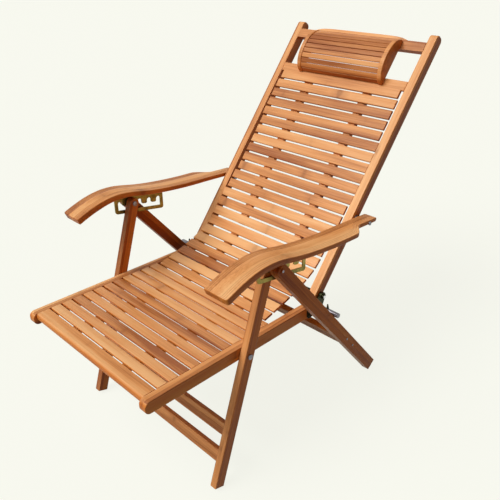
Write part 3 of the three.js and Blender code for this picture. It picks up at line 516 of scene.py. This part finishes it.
def slat_tree():
    """Puts one round-edged slat, face up, at every point, turned and stretched as it says."""
    found = bpy.data.node_groups.get("Slats at places")
    if found:
        return found
    tree, given = new_geometry_tree("Slats at places", [
        ("Slat width", "Float"), ("Slat thickness", "Float"), ("Edge radius", "Float"),
        ("Tone seed", "Int"), ("Material", "Material")])
    line = add_node(tree, "GeometryNodeCurvePrimitiveLine", {
        "Start": (-1, 0, 0), "End": (1, 0, 0)})
    outline = add_node(tree, "GeometryNodeCurvePrimitiveQuadrilateral", {
        "Width": given.outputs["Slat width"], "Height": given.outputs["Slat thickness"]})
    rounded = add_node(tree, "GeometryNodeFilletCurve", {
        "Curve": outline, "Count": 4, "Radius": given.outputs["Edge radius"],
        "Limit Radius": True}, mode="POLY")
    body = add_node(tree, "GeometryNodeCurveToMesh", {
        "Curve": line, "Profile Curve": rounded, "Fill Caps": True})
    half = add_node(tree, MATH, [given.outputs["Slat thickness"], -0.5], operation="MULTIPLY")
    drop = add_node(tree, VECTOR, {"Z": half})
    slat = add_node(tree, "GeometryNodeTransform", {"Geometry": body, "Translation": drop})
    turn = add_node(tree, ATTRIBUTE, {"Name": "turn"}, data_type="FLOAT")
    turn = add_node(tree, VECTOR, {"X": turn})
    size = add_node(tree, ATTRIBUTE, {"Name": "half_length"}, data_type="FLOAT")
    size = add_node(tree, VECTOR, {"X": size, "Y": 1, "Z": 1})
    placed = add_node(tree, "GeometryNodeInstanceOnPoints", {
        "Points": given.outputs["Geometry"], "Instance": slat, "Rotation": turn, "Scale": size})
    chance = add_node(tree, "FunctionNodeRandomValue", {
        "Seed": given.outputs["Tone seed"]}, data_type="FLOAT")
    toned = add_node(tree, "GeometryNodeStoreNamedAttribute", {
        "Geometry": placed, "Name": "slat_tone", "Value": chance.outputs[1]},
        data_type="FLOAT", domain="INSTANCE")
    finish_tree(tree, toned, given)
    return tree


def head_tree():
    """Puts one domed bolt or screw head at every point, facing out along X."""
    found = bpy.data.node_groups.get("Domed heads at places")
    if found:
        return found
    tree, given = new_geometry_tree("Domed heads at places", [
        ("Head radius", "Float"), ("Head height", "Float"), ("Material", "Material")])
    radius, height = given.outputs["Head radius"], given.outputs["Head height"]
    depth = add_node(tree, MATH, [height, HEAD_BODY], operation="MULTIPLY")
    disc = add_node(tree, "GeometryNodeMeshCylinder", {
        "Vertices": HEAD_SIDES, "Side Segments": 1, "Fill Segments": HEAD_RINGS,
        "Radius": radius, "Depth": depth}, fill_type="TRIANGLE_FAN")
    # The outer face falls away towards its rim, and the head's foot sinks into its seat.
    place = add_node(tree, "GeometryNodeInputPosition")
    axes = add_node(tree, AXES, [place]).outputs
    out = add_node(tree, VECTOR, {"X": axes["X"], "Y": axes["Y"]})
    out = add_node(tree, "ShaderNodeVectorMath", [out], operation="LENGTH").outputs["Value"]
    share = add_node(tree, MATH, [out, radius], operation="DIVIDE")
    share = add_node(tree, MATH, [share, DOME_POWER], operation="POWER")
    fall = add_node(tree, MATH, [height, HEAD_FALL], operation="MULTIPLY")
    fall = add_node(tree, MATH, [share, fall], operation="MULTIPLY")
    upper = add_node(tree, MATH, [axes["Z"], 0.0], operation="GREATER_THAN")
    lift = add_node(tree, MATH, [depth, HEAD_LIFT], operation="MULTIPLY")
    rise = add_node(tree, MATH, [fall, upper, lift], operation="MULTIPLY_ADD")
    offset = add_node(tree, VECTOR, {"Z": rise})
    domed = add_node(tree, "GeometryNodeSetPosition", {"Geometry": disc, "Offset": offset})
    turn = add_node(tree, ATTRIBUTE, {"Name": "turn"}, data_type="FLOAT")
    turn = add_node(tree, VECTOR, {"Y": turn})
    placed = add_node(tree, "GeometryNodeInstanceOnPoints", {
        "Points": given.outputs["Geometry"], "Instance": domed, "Rotation": turn})
    finish_tree(tree, placed, given)
    return tree


def grown(name, tree, points, attributes, inputs):
    """Grows a tree on points with their attributes and returns the plain mesh object."""
    places = bpy.data.meshes.new(name + "_places")
    places.from_pydata([tuple(p) for p in points], [], [])
    for key, values in attributes.items():
        layer = places.attributes.new(key, "FLOAT", "POINT")
        layer.data.foreach_set("value", values)
    seed = bpy.data.objects.new(name + "_places", places)
    bpy.context.scene.collection.objects.link(seed)
    modifier = seed.modifiers.new("Grown", "NODES")
    modifier.node_group = tree
    for item in tree.interface.items_tree:
        if item.in_out == "INPUT" and item.name in inputs:
            modifier[item.identifier] = inputs[item.name]
    graph = bpy.context.evaluated_depsgraph_get()
    mesh = bpy.data.meshes.new_from_object(seed.evaluated_get(graph), depsgraph=graph)
    bpy.data.objects.remove(seed)
    bpy.data.meshes.remove(places)
    if not mesh.polygons:
        raise RuntimeError(name + " came out empty")
    return placed_object(name, mesh, math.radians(35))


def placed_object(name, mesh, smooth):
    """A named object for a finished mesh, smooth but for edges that turn more than smooth."""
    mesh.name = name
    if smooth:
        mesh.shade_smooth()
        mesh.set_sharp_from_angle(angle=smooth)
    piece = bpy.data.objects.new(name, mesh)
    bpy.context.scene.collection.objects.link(piece)
    return piece


def ease_edges(piece, width, segments=2):
    """Eases a piece's edges and keeps the result as its plain mesh."""
    modifier = piece.modifiers.new("Eased edges", "BEVEL")
    modifier.width = width
    modifier.segments = segments
    modifier.limit_method = "ANGLE"
    modifier.angle_limit = math.radians(40)
    graph = bpy.context.evaluated_depsgraph_get()
    eased = bpy.data.meshes.new_from_object(piece.evaluated_get(graph), depsgraph=graph)
    piece.modifiers.remove(modifier)
    old = piece.data
    eased.name = piece.name
    piece.data = eased
    bpy.data.meshes.remove(old)
    piece.data.shade_smooth()
    piece.data.set_sharp_from_angle(angle=math.radians(30))


def prism(name, outline, x0, x1, material):
    """A solid from a side-view outline, between two planes across the chair."""
    mesh = bmesh.new()
    near = [mesh.verts.new(side_point(x0, p)) for p in outline]
    far = [mesh.verts.new(side_point(x1, p)) for p in outline]
    mesh.faces.new(near)
    mesh.faces.new(list(reversed(far)))
    for i in range(len(outline)):
        k = (i + 1) % len(outline)
        mesh.faces.new((near[k], near[i], far[i], far[k]))
    bmesh.ops.recalc_face_normals(mesh, faces=mesh.faces)
    data = bpy.data.meshes.new(name)
    mesh.to_mesh(data)
    mesh.free()
    data.materials.append(material)
    return placed_object(name, data, None)


def ends(name):
    """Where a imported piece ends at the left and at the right."""
    low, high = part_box(name)
    return low[0], high[0]


def slats(name, places, width, material, seed, section=None):
    """Slats at places given as (middle of the face, turn in the side view, left end, right end),
    with a section of (thickness, edge radius) where it isn't the user's."""
    sizes = bpy.context.scene.recliner_sizes
    thickness, edge = section or (sizes.slat_thickness, sizes.slat_edge)
    points = [side_point((left + right) / 2, middle) for middle, _, left, right in places]
    attributes = {
        "turn": [turn + SEAT_TILT for _, turn, _, _ in places],
        "half_length": [(right - left) / 2 for _, _, left, right in places],
    }
    return grown(name, slat_tree(), points, attributes, {
        "Slat width": width, "Slat thickness": thickness, "Edge radius": edge,
        "Tone seed": sizes.tone_seed + seed, "Material": material})


def with_reach(points):
    """The points of a line, with the distance of each from the start."""
    reach = [0.0]
    for a, b in zip(points, points[1:]):
        reach.append(reach[-1] + (b - a).length)
    return points, reach


def lumbar_line():
    """The curve from seat to back, with the distance of each point from its start."""
    start = Vector((SEAT_COUNT * SEAT_PITCH, 0))
    top = back_place(BOARD_FOOT - SLAT_GAP / 2 - BACK_COUNT * BACK_PITCH, FACE_OFFSET)
    guides = (start, start + heading(LUMBAR_START) * LUMBAR_HANDLES[0],
              top - heading(BACK_ANGLE) * LUMBAR_HANDLES[1], top)
    points, steps = [], 400
    for i in range(steps + 1):
        t = i / steps
        shares = ((1 - t) ** 3, 3 * t * (1 - t) ** 2, 3 * t * t * (1 - t), t ** 3)
        points.append(sum((p * w for p, w in zip(guides, shares)), Vector((0, 0))))
    return with_reach(points)


def on_line(points, reach, distance):
    """The point and the slope of a measured line at one distance."""
    i = max(1, next((k for k, r in enumerate(reach) if r >= distance), len(reach) - 1))
    share = (distance - reach[i - 1]) / (reach[i] - reach[i - 1])
    step = points[i] - points[i - 1]
    return points[i - 1] + step * share, math.atan2(step.y, step.x)


# Operators.
class RECLINER_OT_seat_slats(bpy.types.Operator):
    """Lays the flat slats of the seat between its two side rails"""

    bl_idname = "recliner.seat_slats"
    bl_label = "Seat slats"

    def execute(self, context):
        places = [(Vector((SEAT_PITCH * (i + 0.5), 0)), 0.0, *ends(slat))
                  for i, slat in enumerate(SEAT_SLATS)]
        piece = slats("seat_slats", places, SEAT_PITCH - SLAT_GAP, bamboo_for("seat slats"), 1)
        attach(piece, "seat")
        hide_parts(*SEAT_SLATS)
        return {"FINISHED"}


class RECLINER_OT_lumbar_slats(bpy.types.Operator):
    """Climbs the narrow slats along the curve from the seat to the back"""

    bl_idname = "recliner.lumbar_slats"
    bl_label = "Lumbar slats"

    def execute(self, context):
        points, reach = lumbar_line()
        pitch = reach[-1] / LUMBAR_COUNT
        places = []
        for i, slat in enumerate(LUMBAR_SLATS):
            places.append((*on_line(points, reach, pitch * (i + 0.5)), *ends(slat)))
        piece = slats("lumbar_slats", places, pitch - SLAT_GAP, bamboo_for("seat slats"), 2)
        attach(piece, "seat")
        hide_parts(*LUMBAR_SLATS)
        return {"FINISHED"}


class RECLINER_OT_back_slats(bpy.types.Operator):
    """Lays the straight slats of the back, some against a stile, some midway between the stiles"""

    bl_idname = "recliner.back_slats"
    bl_label = "Back slats"

    def execute(self, context):
        places = []
        for i, slat in enumerate(BACK_SLATS):
            reach = BOARD_FOOT - SLAT_GAP / 2 - (i + 0.5) * BACK_PITCH
            places.append((back_place(reach, FACE_OFFSET), BACK_ANGLE, *ends(slat)))
        piece = slats("back_slats", places, BACK_PITCH - SLAT_GAP, bamboo_for("back slats"), 3)
        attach(piece, "back")
        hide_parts(*BACK_SLATS)
        return {"FINISHED"}


class RECLINER_OT_headrest(bpy.types.Operator):
    """Builds the headrest: two D-shaped end caps with thin slats round them"""

    bl_idname = "recliner.headrest"
    bl_label = "Headrest"

    def execute(self, context):
        low, high = HEADREST_FEET
        middle, half_rise = (low + high) / 2, (high - low) / 2
        half = HEADREST_LENGTH / 2
        material = bamboo_for("headrest")

        # The slats follow the half ellipse a little below the rim of the caps.
        along, up, steps = half_rise - CAP_RIM, HEADREST_HEIGHT - CAP_RIM, 600
        turns = [math.pi * i / steps for i in range(steps + 1)]
        points, reach = with_reach([Vector((along * math.cos(a), up * math.sin(a)))
                                    for a in turns])
        count = context.scene.recliner_sizes.headrest_slats
        pitch = (reach[-1] - HEADREST_GAP) / count
        end = half - CAP_THICKNESS + SLAT_IN_CAP
        places = []
        for i in range(count):
            place, slope = on_line(points, reach, HEADREST_GAP / 2 + pitch * (i + 0.5))
            places.append((back_place(middle + place.x, HEADREST_SEAT + place.y),
                           BACK_ANGLE + slope + math.pi, -end, end))
        body = slats("headrest_slats", places, pitch - HEADREST_GAP, material, 4, HEADREST_SLAT)
        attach(body, "back")
        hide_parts("headrest")

        rounds = 48
        outline = [back_place(middle + half_rise * math.cos(math.pi * i / rounds),
                              HEADREST_SEAT + HEADREST_HEIGHT * math.sin(math.pi * i / rounds))
                   for i in range(rounds + 1)]
        for name, side in SIDES:
            x0, x1 = sorted((side * (half - CAP_THICKNESS), side * half))
            cap = prism("headrest_cap_" + name, outline, x0, x1, material)
            ease_edges(cap, CAP_EDGE, 3)
            add_tone(cap, CAP_TONE)
            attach(cap, "back")
        return {"FINISHED"}


def add_tone(piece, tone):
    """Gives every point of a piece one tone, for a finish that reads the slats' tone."""
    layer = piece.data.attributes.get("slat_tone")
    if not layer:
        layer = piece.data.attributes.new("slat_tone", "FLOAT", "POINT")
    layer.data.foreach_set("value", [tone] * len(piece.data.vertices))


def arm_top(share):
    """A point of the arm's top line at a share of its knots."""
    knots = [Vector((ARM_FRONT + a * (ARM_REAR - ARM_FRONT), ARM_FRONT_HEIGHT + b * ARM_RISE))
             for a, b in ARM_TOP]
    last = len(knots) - 1
    at = share * last
    i = min(int(at), last - 1)
    w = at - i
    p0, p1 = knots[max(i - 1, 0)], knots[i]
    p2, p3 = knots[i + 1], knots[min(i + 2, last)]
    v0, v1 = (p2 - p0) * 0.5, (p3 - p1) * 0.5
    return ((p1 * 2 - p2 * 2 + v0 + v1) * w ** 3 + (p2 * 3 - p1 * 3 - v0 * 2 - v1) * w * w
            + v0 * w + p1)


def arm_thickness(s):
    """The thickness of the arm at one place along it."""
    share = (s - ARM_FRONT) / (ARM_REAR - ARM_FRONT)
    for (a, ta), (b, tb) in zip(ARM_THINNING, ARM_THINNING[1:]):
        if share <= b:
            return ARM_THICKNESS * (ta + (tb - ta) * max(share - a, 0) / (b - a))
    return ARM_THICKNESS * ARM_THINNING[-1][1]


def arm_outer_edge(s):
    """How far out the arm reaches at one place along it."""
    tongue = ARM_INNER + ARM_TONGUE
    if s < ARM_FRONT + ARM_CORNER:
        d = max(s - ARM_FRONT, 0)
        return ARM_OUTER - ARM_CORNER + math.sqrt(max(ARM_CORNER ** 2 - (ARM_CORNER - d) ** 2, 0))
    if s > ARM_STEP[0]:
        share = min((s - ARM_STEP[0]) / (ARM_STEP[1] - ARM_STEP[0]), 1)
        return ARM_OUTER + (tongue - ARM_OUTER) * (3 - 2 * share) * share * share
    return ARM_OUTER


def arm_share_at(reach):
    """The share of the top line's knots at this distance from the arm's front end."""
    # The knots aren't spread evenly, so the share is searched.
    low, high = 0.0, 1.0
    for _ in range(30):
        share = (low + high) / 2
        if arm_top(share).x < ARM_FRONT + reach:
            low = share
        else:
            high = share
    return share


def arm_section(x0, x1, thick, shrink, groove_depth):
    """The arm's cross-section: (across the chair, above the top line, 1 in a groove, else 0)."""
    x0, x1 = x0 + shrink, x1 - shrink
    top, bottom = -shrink, -thick + shrink
    height = min(ARM_EDGE, thick * 0.4)
    section = []
    for middle in [x0 + g for g in ARM_GROOVES_INNER] + [x1 - g for g in ARM_GROOVES_OUTER]:
        for aside, deep in ((-ARM_GROOVE_WIDTH, 0), (0, 1), (ARM_GROOVE_WIDTH, 0)):
            section.append((middle + aside, top - deep * groove_depth, deep))
    # The four rounded edges, from the outer one of the top on.
    for x, z, inward, upward, start in ((x1, top, -1, -1, 90), (x1, bottom, -1, 1, 0),
                                        (x0, bottom, 1, 1, -90), (x0, top, 1, -1, 180)):
        for k in range(4):
            a = math.radians(start - 30 * k)
            section.append((x + ARM_EDGE * (inward + math.cos(a)),
                            z + height * (upward + math.sin(a)), 0))
    return section


def arm_mesh(side, groove_depth):
    """The arm as a bent bar: eased edges and three fine grooves along each edge of its top."""
    rest = ARM_REAR - ARM_FRONT - ARM_NOSE[-1]
    stations = [*ARM_NOSE, *(ARM_NOSE[-1] + rest * (i + 1) / ARM_STEPS for i in range(ARM_STEPS))]
    data = bmesh.new()
    marks = data.verts.layers.float.new("groove")
    rings = []
    for station in stations:
        share = arm_share_at(station)
        face = arm_top(share)
        along = (arm_top(min(share + 0.002, 1)) - arm_top(max(share - 0.002, 0))).normalized()
        # Both ends are eased by a slightly smaller first and last ring.
        shrink = ARM_END_EDGE if station in (stations[0], stations[-1]) else 0.0
        ring = []
        for x, drop, deep in arm_section(ARM_INNER, arm_outer_edge(face.x),
                                         arm_thickness(face.x), shrink, groove_depth):
            vertex = data.verts.new(side_point(side * x, face + square_to(along) * drop))
            vertex[marks] = deep
            ring.append(vertex)
        rings.append(ring)
    count = len(rings[0])
    for a, b in zip(rings, rings[1:]):
        for i in range(count):
            k = (i + 1) % count
            data.faces.new((a[i], a[k], b[k], b[i]))
    data.faces.new(rings[0])
    data.faces.new(list(reversed(rings[-1])))
    bmesh.ops.recalc_face_normals(data, faces=data.faces)
    mesh = bpy.data.meshes.new("arm")
    data.to_mesh(mesh)
    data.free()
    return mesh


class RECLINER_OT_arms(bpy.types.Operator):
    """Builds both curved armrests with the fine grooves along their tops"""

    bl_idname = "recliner.arms"
    bl_label = "Armrests"

    def execute(self, context):
        for name, side in SIDES:
            mesh = arm_mesh(side, context.scene.recliner_sizes.groove_depth)
            mesh.materials.append(bamboo_for("arms"))
            piece = placed_object("arm_" + name, mesh, math.radians(24))
            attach(piece, "arms")
            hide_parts("armrest_" + name)
        return {"FINISHED"}


def heads(name, body, places, radius, height, finish=None):
    """Domed heads on both sides of the chair at (x, side-view place, facing) places."""
    points = [side_point(x, place) for x, place, _ in places]
    turns = [math.pi / 2 * facing for _, _, facing in places]
    piece = grown(name, head_tree(), points, {"turn": turns}, {
        "Head radius": radius, "Head height": height, "Material": finish or steel_finish()})
    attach(piece, body)


class RECLINER_OT_fasteners(bpy.types.Operator):
    """Puts the domed bolt heads on the pivots and the screw heads on the rear legs"""

    bl_idname = "recliner.fasteners"
    bl_label = "Bolts and screws"

    def execute(self, context):
        sizes = context.scene.recliner_sizes
        run = front_leg_run()
        pivot = FRONT_FOOT + run * ((FRONT_PIVOT_HEIGHT - FRONT_FOOT.y) / run.y)
        sides = (1, -1)
        heads("leg_pivot_heads", "seat",
              [(s * (FRONT_LEG_X[1] + PIVOT_HEAD_GAP), pivot, s) for s in sides],
              sizes.bolt_radius, PIVOT_HEAD_HEIGHT)
        heads("crown_heads_outside", "rear_legs",
              [(s * REAR_LEG_X[1], CROWN, s) for s in sides], *CROWN_HEAD)
        heads("crown_heads_inside", "front_legs",
              [(s * FRONT_LEG_X[0], CROWN, -s) for s in sides],
              sizes.bolt_radius, PIVOT_HEAD_HEIGHT)
        heads("rear_stretcher_screws", "rear_legs",
              [(s * REAR_LEG_X[1], rear_leg_place(reach), s)
               for s in sides for reach in SCREW_PLACES],
              sizes.screw_radius, SCREW_HEAD_HEIGHT)
        heads("hinge_shaft_caps", "hinge_shaft",
              [(s * SHAFT_END, HINGE, s) for s in sides], *SHAFT_HEAD, bright_finish())
        return {"FINISHED"}


class RECLINER_OT_rest_rod(bpy.types.Operator):
    """Sleeves the cross rod that rests on the rear legs, with a small hooked catch at each side"""

    bl_idname = "recliner.rest_rod"
    bl_label = "Rest rod"

    def execute(self, context):
        rod, rounds = rear_leg_place(REST_ROD_REACH, REST_ROD_RISE), 28
        outline = [rod + heading(math.tau * i / rounds) * REST_ROD_RADIUS for i in range(rounds)]
        sleeve = prism("rest_rod_sleeve", outline, -REST_ROD_END, REST_ROD_END, steel_finish())
        ease_edges(sleeve, REST_ROD_EDGE)
        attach(sleeve, "seat")
        # The catch: a thin pointed plate that stands on the rod beside the rear leg.
        outline = [rod + CATCH_FEET[0], rod + CATCH_FEET[1],
                   rod + CATCH_TIP + CATCH_TIP_HALF, rod + CATCH_TIP - CATCH_TIP_HALF]
        for name, side in SIDES:
            x0, x1 = sorted(side * x for x in CATCH_X)
            catch = prism("rest_rod_catch_" + name, outline, x0, x1, oxide_finish())
            ease_edges(catch, CATCH_EDGE)
            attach(catch, "seat")
        return {"FINISHED"}


class RECLINER_OT_rear_strip(bpy.types.Operator):
    """Adds the thin light strip along the lower edge of the rear stretcher"""

    bl_idname = "recliner.rear_strip"
    bl_label = "Rear strip"

    def execute(self, context):
        outline = [rear_leg_place(STRIP_REACH + down, out) for down, out in (
            (0, -STRIP_HALF), (STRIP_DEPTH, -STRIP_HALF), (STRIP_DEPTH, STRIP_HALF),
            (0, STRIP_HALF))]
        half = REAR_LEG_X[0] - STRIP_PLAY
        strip = prism("rear_stretcher_strip", outline, -half, half, bamboo_for("rear stretcher"))
        ease_edges(strip, STRIP_EDGE)
        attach(strip, "rear_legs")
        return {"FINISHED"}


class RECLINER_OT_finishes(bpy.types.Operator):
    """Gives every carried-over piece its finish, the grain along its own length"""

    bl_idname = "recliner.finishes"
    bl_label = "Finishes"

    def execute(self, context):
        kinds = (
            ("seat_rail", "seat rails"), ("seat_front_board", "front board"),
            ("seat_slat", "seat slats"), ("seat_batten", "seat battens"),
            ("back_stile", "stiles"), ("crest_rail", "boards"), ("top_board", "boards"),
            ("back_slat", "back slats"), ("back_batten", "back battens"),
            ("headrest", "headrest"), ("armrest", "arms"), ("front_leg", "front legs"),
            ("front_stretcher", "front stretchers"), ("rear_leg", "rear legs"),
            ("rear_stretcher", "rear stretcher"),
        )
        for name, node in NODES.items():
            kind = next((k for start, k in kinds if name.startswith(start)), None)
            if kind:
                finish = bamboo_for(kind)
            elif name.startswith("arm_rack"):
                finish = brass_finish()
            elif name in ("rear_support", "hinge_shaft"):
                finish = oxide_finish()
            else:
                finish = steel_finish()
            if not node.material_slots:
                raise RuntimeError(name + " has no material slot")
            for slot in node.material_slots:
                slot.material = finish
        return {"FINISHED"}


def shown_rays(tree):
    """1 for rays from the camera or by way of gloss or glass, and 0 for light on a face."""
    rays = add_node(tree, "ShaderNodeLightPath").outputs
    mirrored = add_node(tree, MATH, [rays["Is Glossy Ray"], rays["Is Transmission Ray"]],
                        operation="MAXIMUM")
    return add_node(tree, MATH, [rays["Is Camera Ray"], mirrored], operation="MAXIMUM")


class RECLINER_OT_stage(bpy.types.Operator):
    """Sets the pale floor, the soft light and the camera at the photograph's angle"""

    bl_idname = "recliner.stage"
    bl_label = "Stage"

    def execute(self, context):
        scene = context.scene
        backdrop = (*scene.recliner_colours.backdrop, 1)

        # Floor: matt, seen in its own pale colour, with the chair's shadow kept in part of it.
        floor = bpy.data.materials.new("Pale matt floor")
        floor.use_nodes = True
        tree = floor.node_tree
        tree.nodes.clear()
        seen = shown_rays(tree)
        glow = add_node(tree, "ShaderNodeEmission", {"Color": backdrop, "Strength": 1.0})
        # The floor throws little light up at the chair, so its shaded sides stay deep brown.
        tint = add_node(tree, MIX, {0: seen, 6: (*srgb("7C7161"), 1), 7: backdrop},
                        data_type="RGBA").outputs[2]
        matt = add_node(tree, "ShaderNodeBsdfDiffuse", {"Color": tint})
        share = add_node(tree, MATH, [seen, FLOOR_GLOW], operation="MULTIPLY")
        both = add_node(tree, "ShaderNodeMixShader", [share, matt, glow])
        add_node(tree, "ShaderNodeOutputMaterial", {"Surface": both})
        mesh = bpy.data.meshes.new("floor")
        mesh.from_pydata([(x * FLOOR_HALF, y * FLOOR_HALF, -FLOOR_DROP) for x, y in (
            (-1, -1), (1, -1), (1, 1), (-1, 1))], [], [(0, 1, 2, 3)])
        mesh.materials.append(floor)
        plane = bpy.data.objects.new("floor", mesh)
        scene.collection.objects.link(plane)

        world = bpy.data.worlds.new("Pale studio")
        scene.world = world
        world.use_nodes = True
        tree = world.node_tree
        tree.nodes.clear()
        soft = add_node(tree, "ShaderNodeBackground", {
            "Color": (*srgb("FFEFD7"), 1), "Strength": SKY_LIGHT})
        pale = add_node(tree, "ShaderNodeBackground", {"Color": backdrop, "Strength": 1.0})
        both = add_node(tree, "ShaderNodeMixShader", [shown_rays(tree), soft, pale])
        add_node(tree, "ShaderNodeOutputWorld", {"Surface": both})

        for name, direction, energy, spread in LAMPS:
            lamp = bpy.data.lights.new(name, "SUN")
            lamp.energy = energy
            lamp.angle = spread
            lamp.color = srgb("FFFDFA")
            holder = bpy.data.objects.new(name, lamp)
            holder.rotation_euler = Vector(direction).to_track_quat("Z", "Y").to_euler()
            scene.collection.objects.link(holder)

        # The camera looks down on the right front corner of the chair.
        lens = bpy.data.cameras.new("Camera")
        lens.sensor_fit = "HORIZONTAL"
        lens.sensor_width = SENSOR
        lens.lens = FOCAL_LENGTH / PHOTO_SIDE * SENSOR
        lens.clip_start, lens.clip_end = NEAREST, FURTHEST
        turn = Matrix.Rotation(SEAT_TILT, 3, "X")
        right, behind = turn @ CAMERA_RIGHT, turn @ CAMERA_BEHIND
        holder = bpy.data.objects.new("Camera", lens)
        pose = Matrix((right, behind.cross(right), behind)).transposed().to_4x4()
        pose.translation = side_point(CAMERA_X, CAMERA_PLACE)
        holder.matrix_world = pose
        scene.collection.objects.link(holder)
        scene.camera = holder
        scene.view_settings.view_transform = "Standard"
        return {"FINISHED"}


class RECLINER_PT_panel(bpy.types.Panel):
    """Lists the steps that build the recliner"""

    bl_idname = "RECLINER_PT_panel"
    bl_label = "Bamboo Folding Recliner"
    bl_space_type = "VIEW_3D"
    bl_region_type = "UI"
    bl_category = "Recliner"

    def draw(self, context):
        for group in (context.scene.recliner_sizes, context.scene.recliner_colours):
            for key in group.__annotations__:
                self.layout.prop(group, key)
        for step in STEPS:
            self.layout.operator(step.bl_idname)


STEPS = (
    RECLINER_OT_finishes,
    RECLINER_OT_seat_slats,
    RECLINER_OT_lumbar_slats,
    RECLINER_OT_back_slats,
    RECLINER_OT_headrest,
    RECLINER_OT_arms,
    RECLINER_OT_fasteners,
    RECLINER_OT_rest_rod,
    RECLINER_OT_rear_strip,
    RECLINER_OT_stage,
)


def register():
    """Makes the settings, the steps and the panel known."""
    for kind in (ReclinerSizes, ReclinerColours, *STEPS, RECLINER_PT_panel):
        bpy.utils.register_class(kind)
    bpy.types.Scene.recliner_sizes = bpy.props.PointerProperty(type=ReclinerSizes)
    bpy.types.Scene.recliner_colours = bpy.props.PointerProperty(type=ReclinerColours)


def unregister():
    """Takes them out again."""
    del bpy.types.Scene.recliner_colours
    del bpy.types.Scene.recliner_sizes
    for kind in reversed((ReclinerSizes, ReclinerColours, *STEPS, RECLINER_PT_panel)):
        bpy.utils.unregister_class(kind)


def main():
    """Builds every piece in order."""
    register()
    for step in STEPS:
        group, name = step.bl_idname.split(".")
        getattr(getattr(bpy.ops, group), name)()


if __name__ == "__main__":
    main()
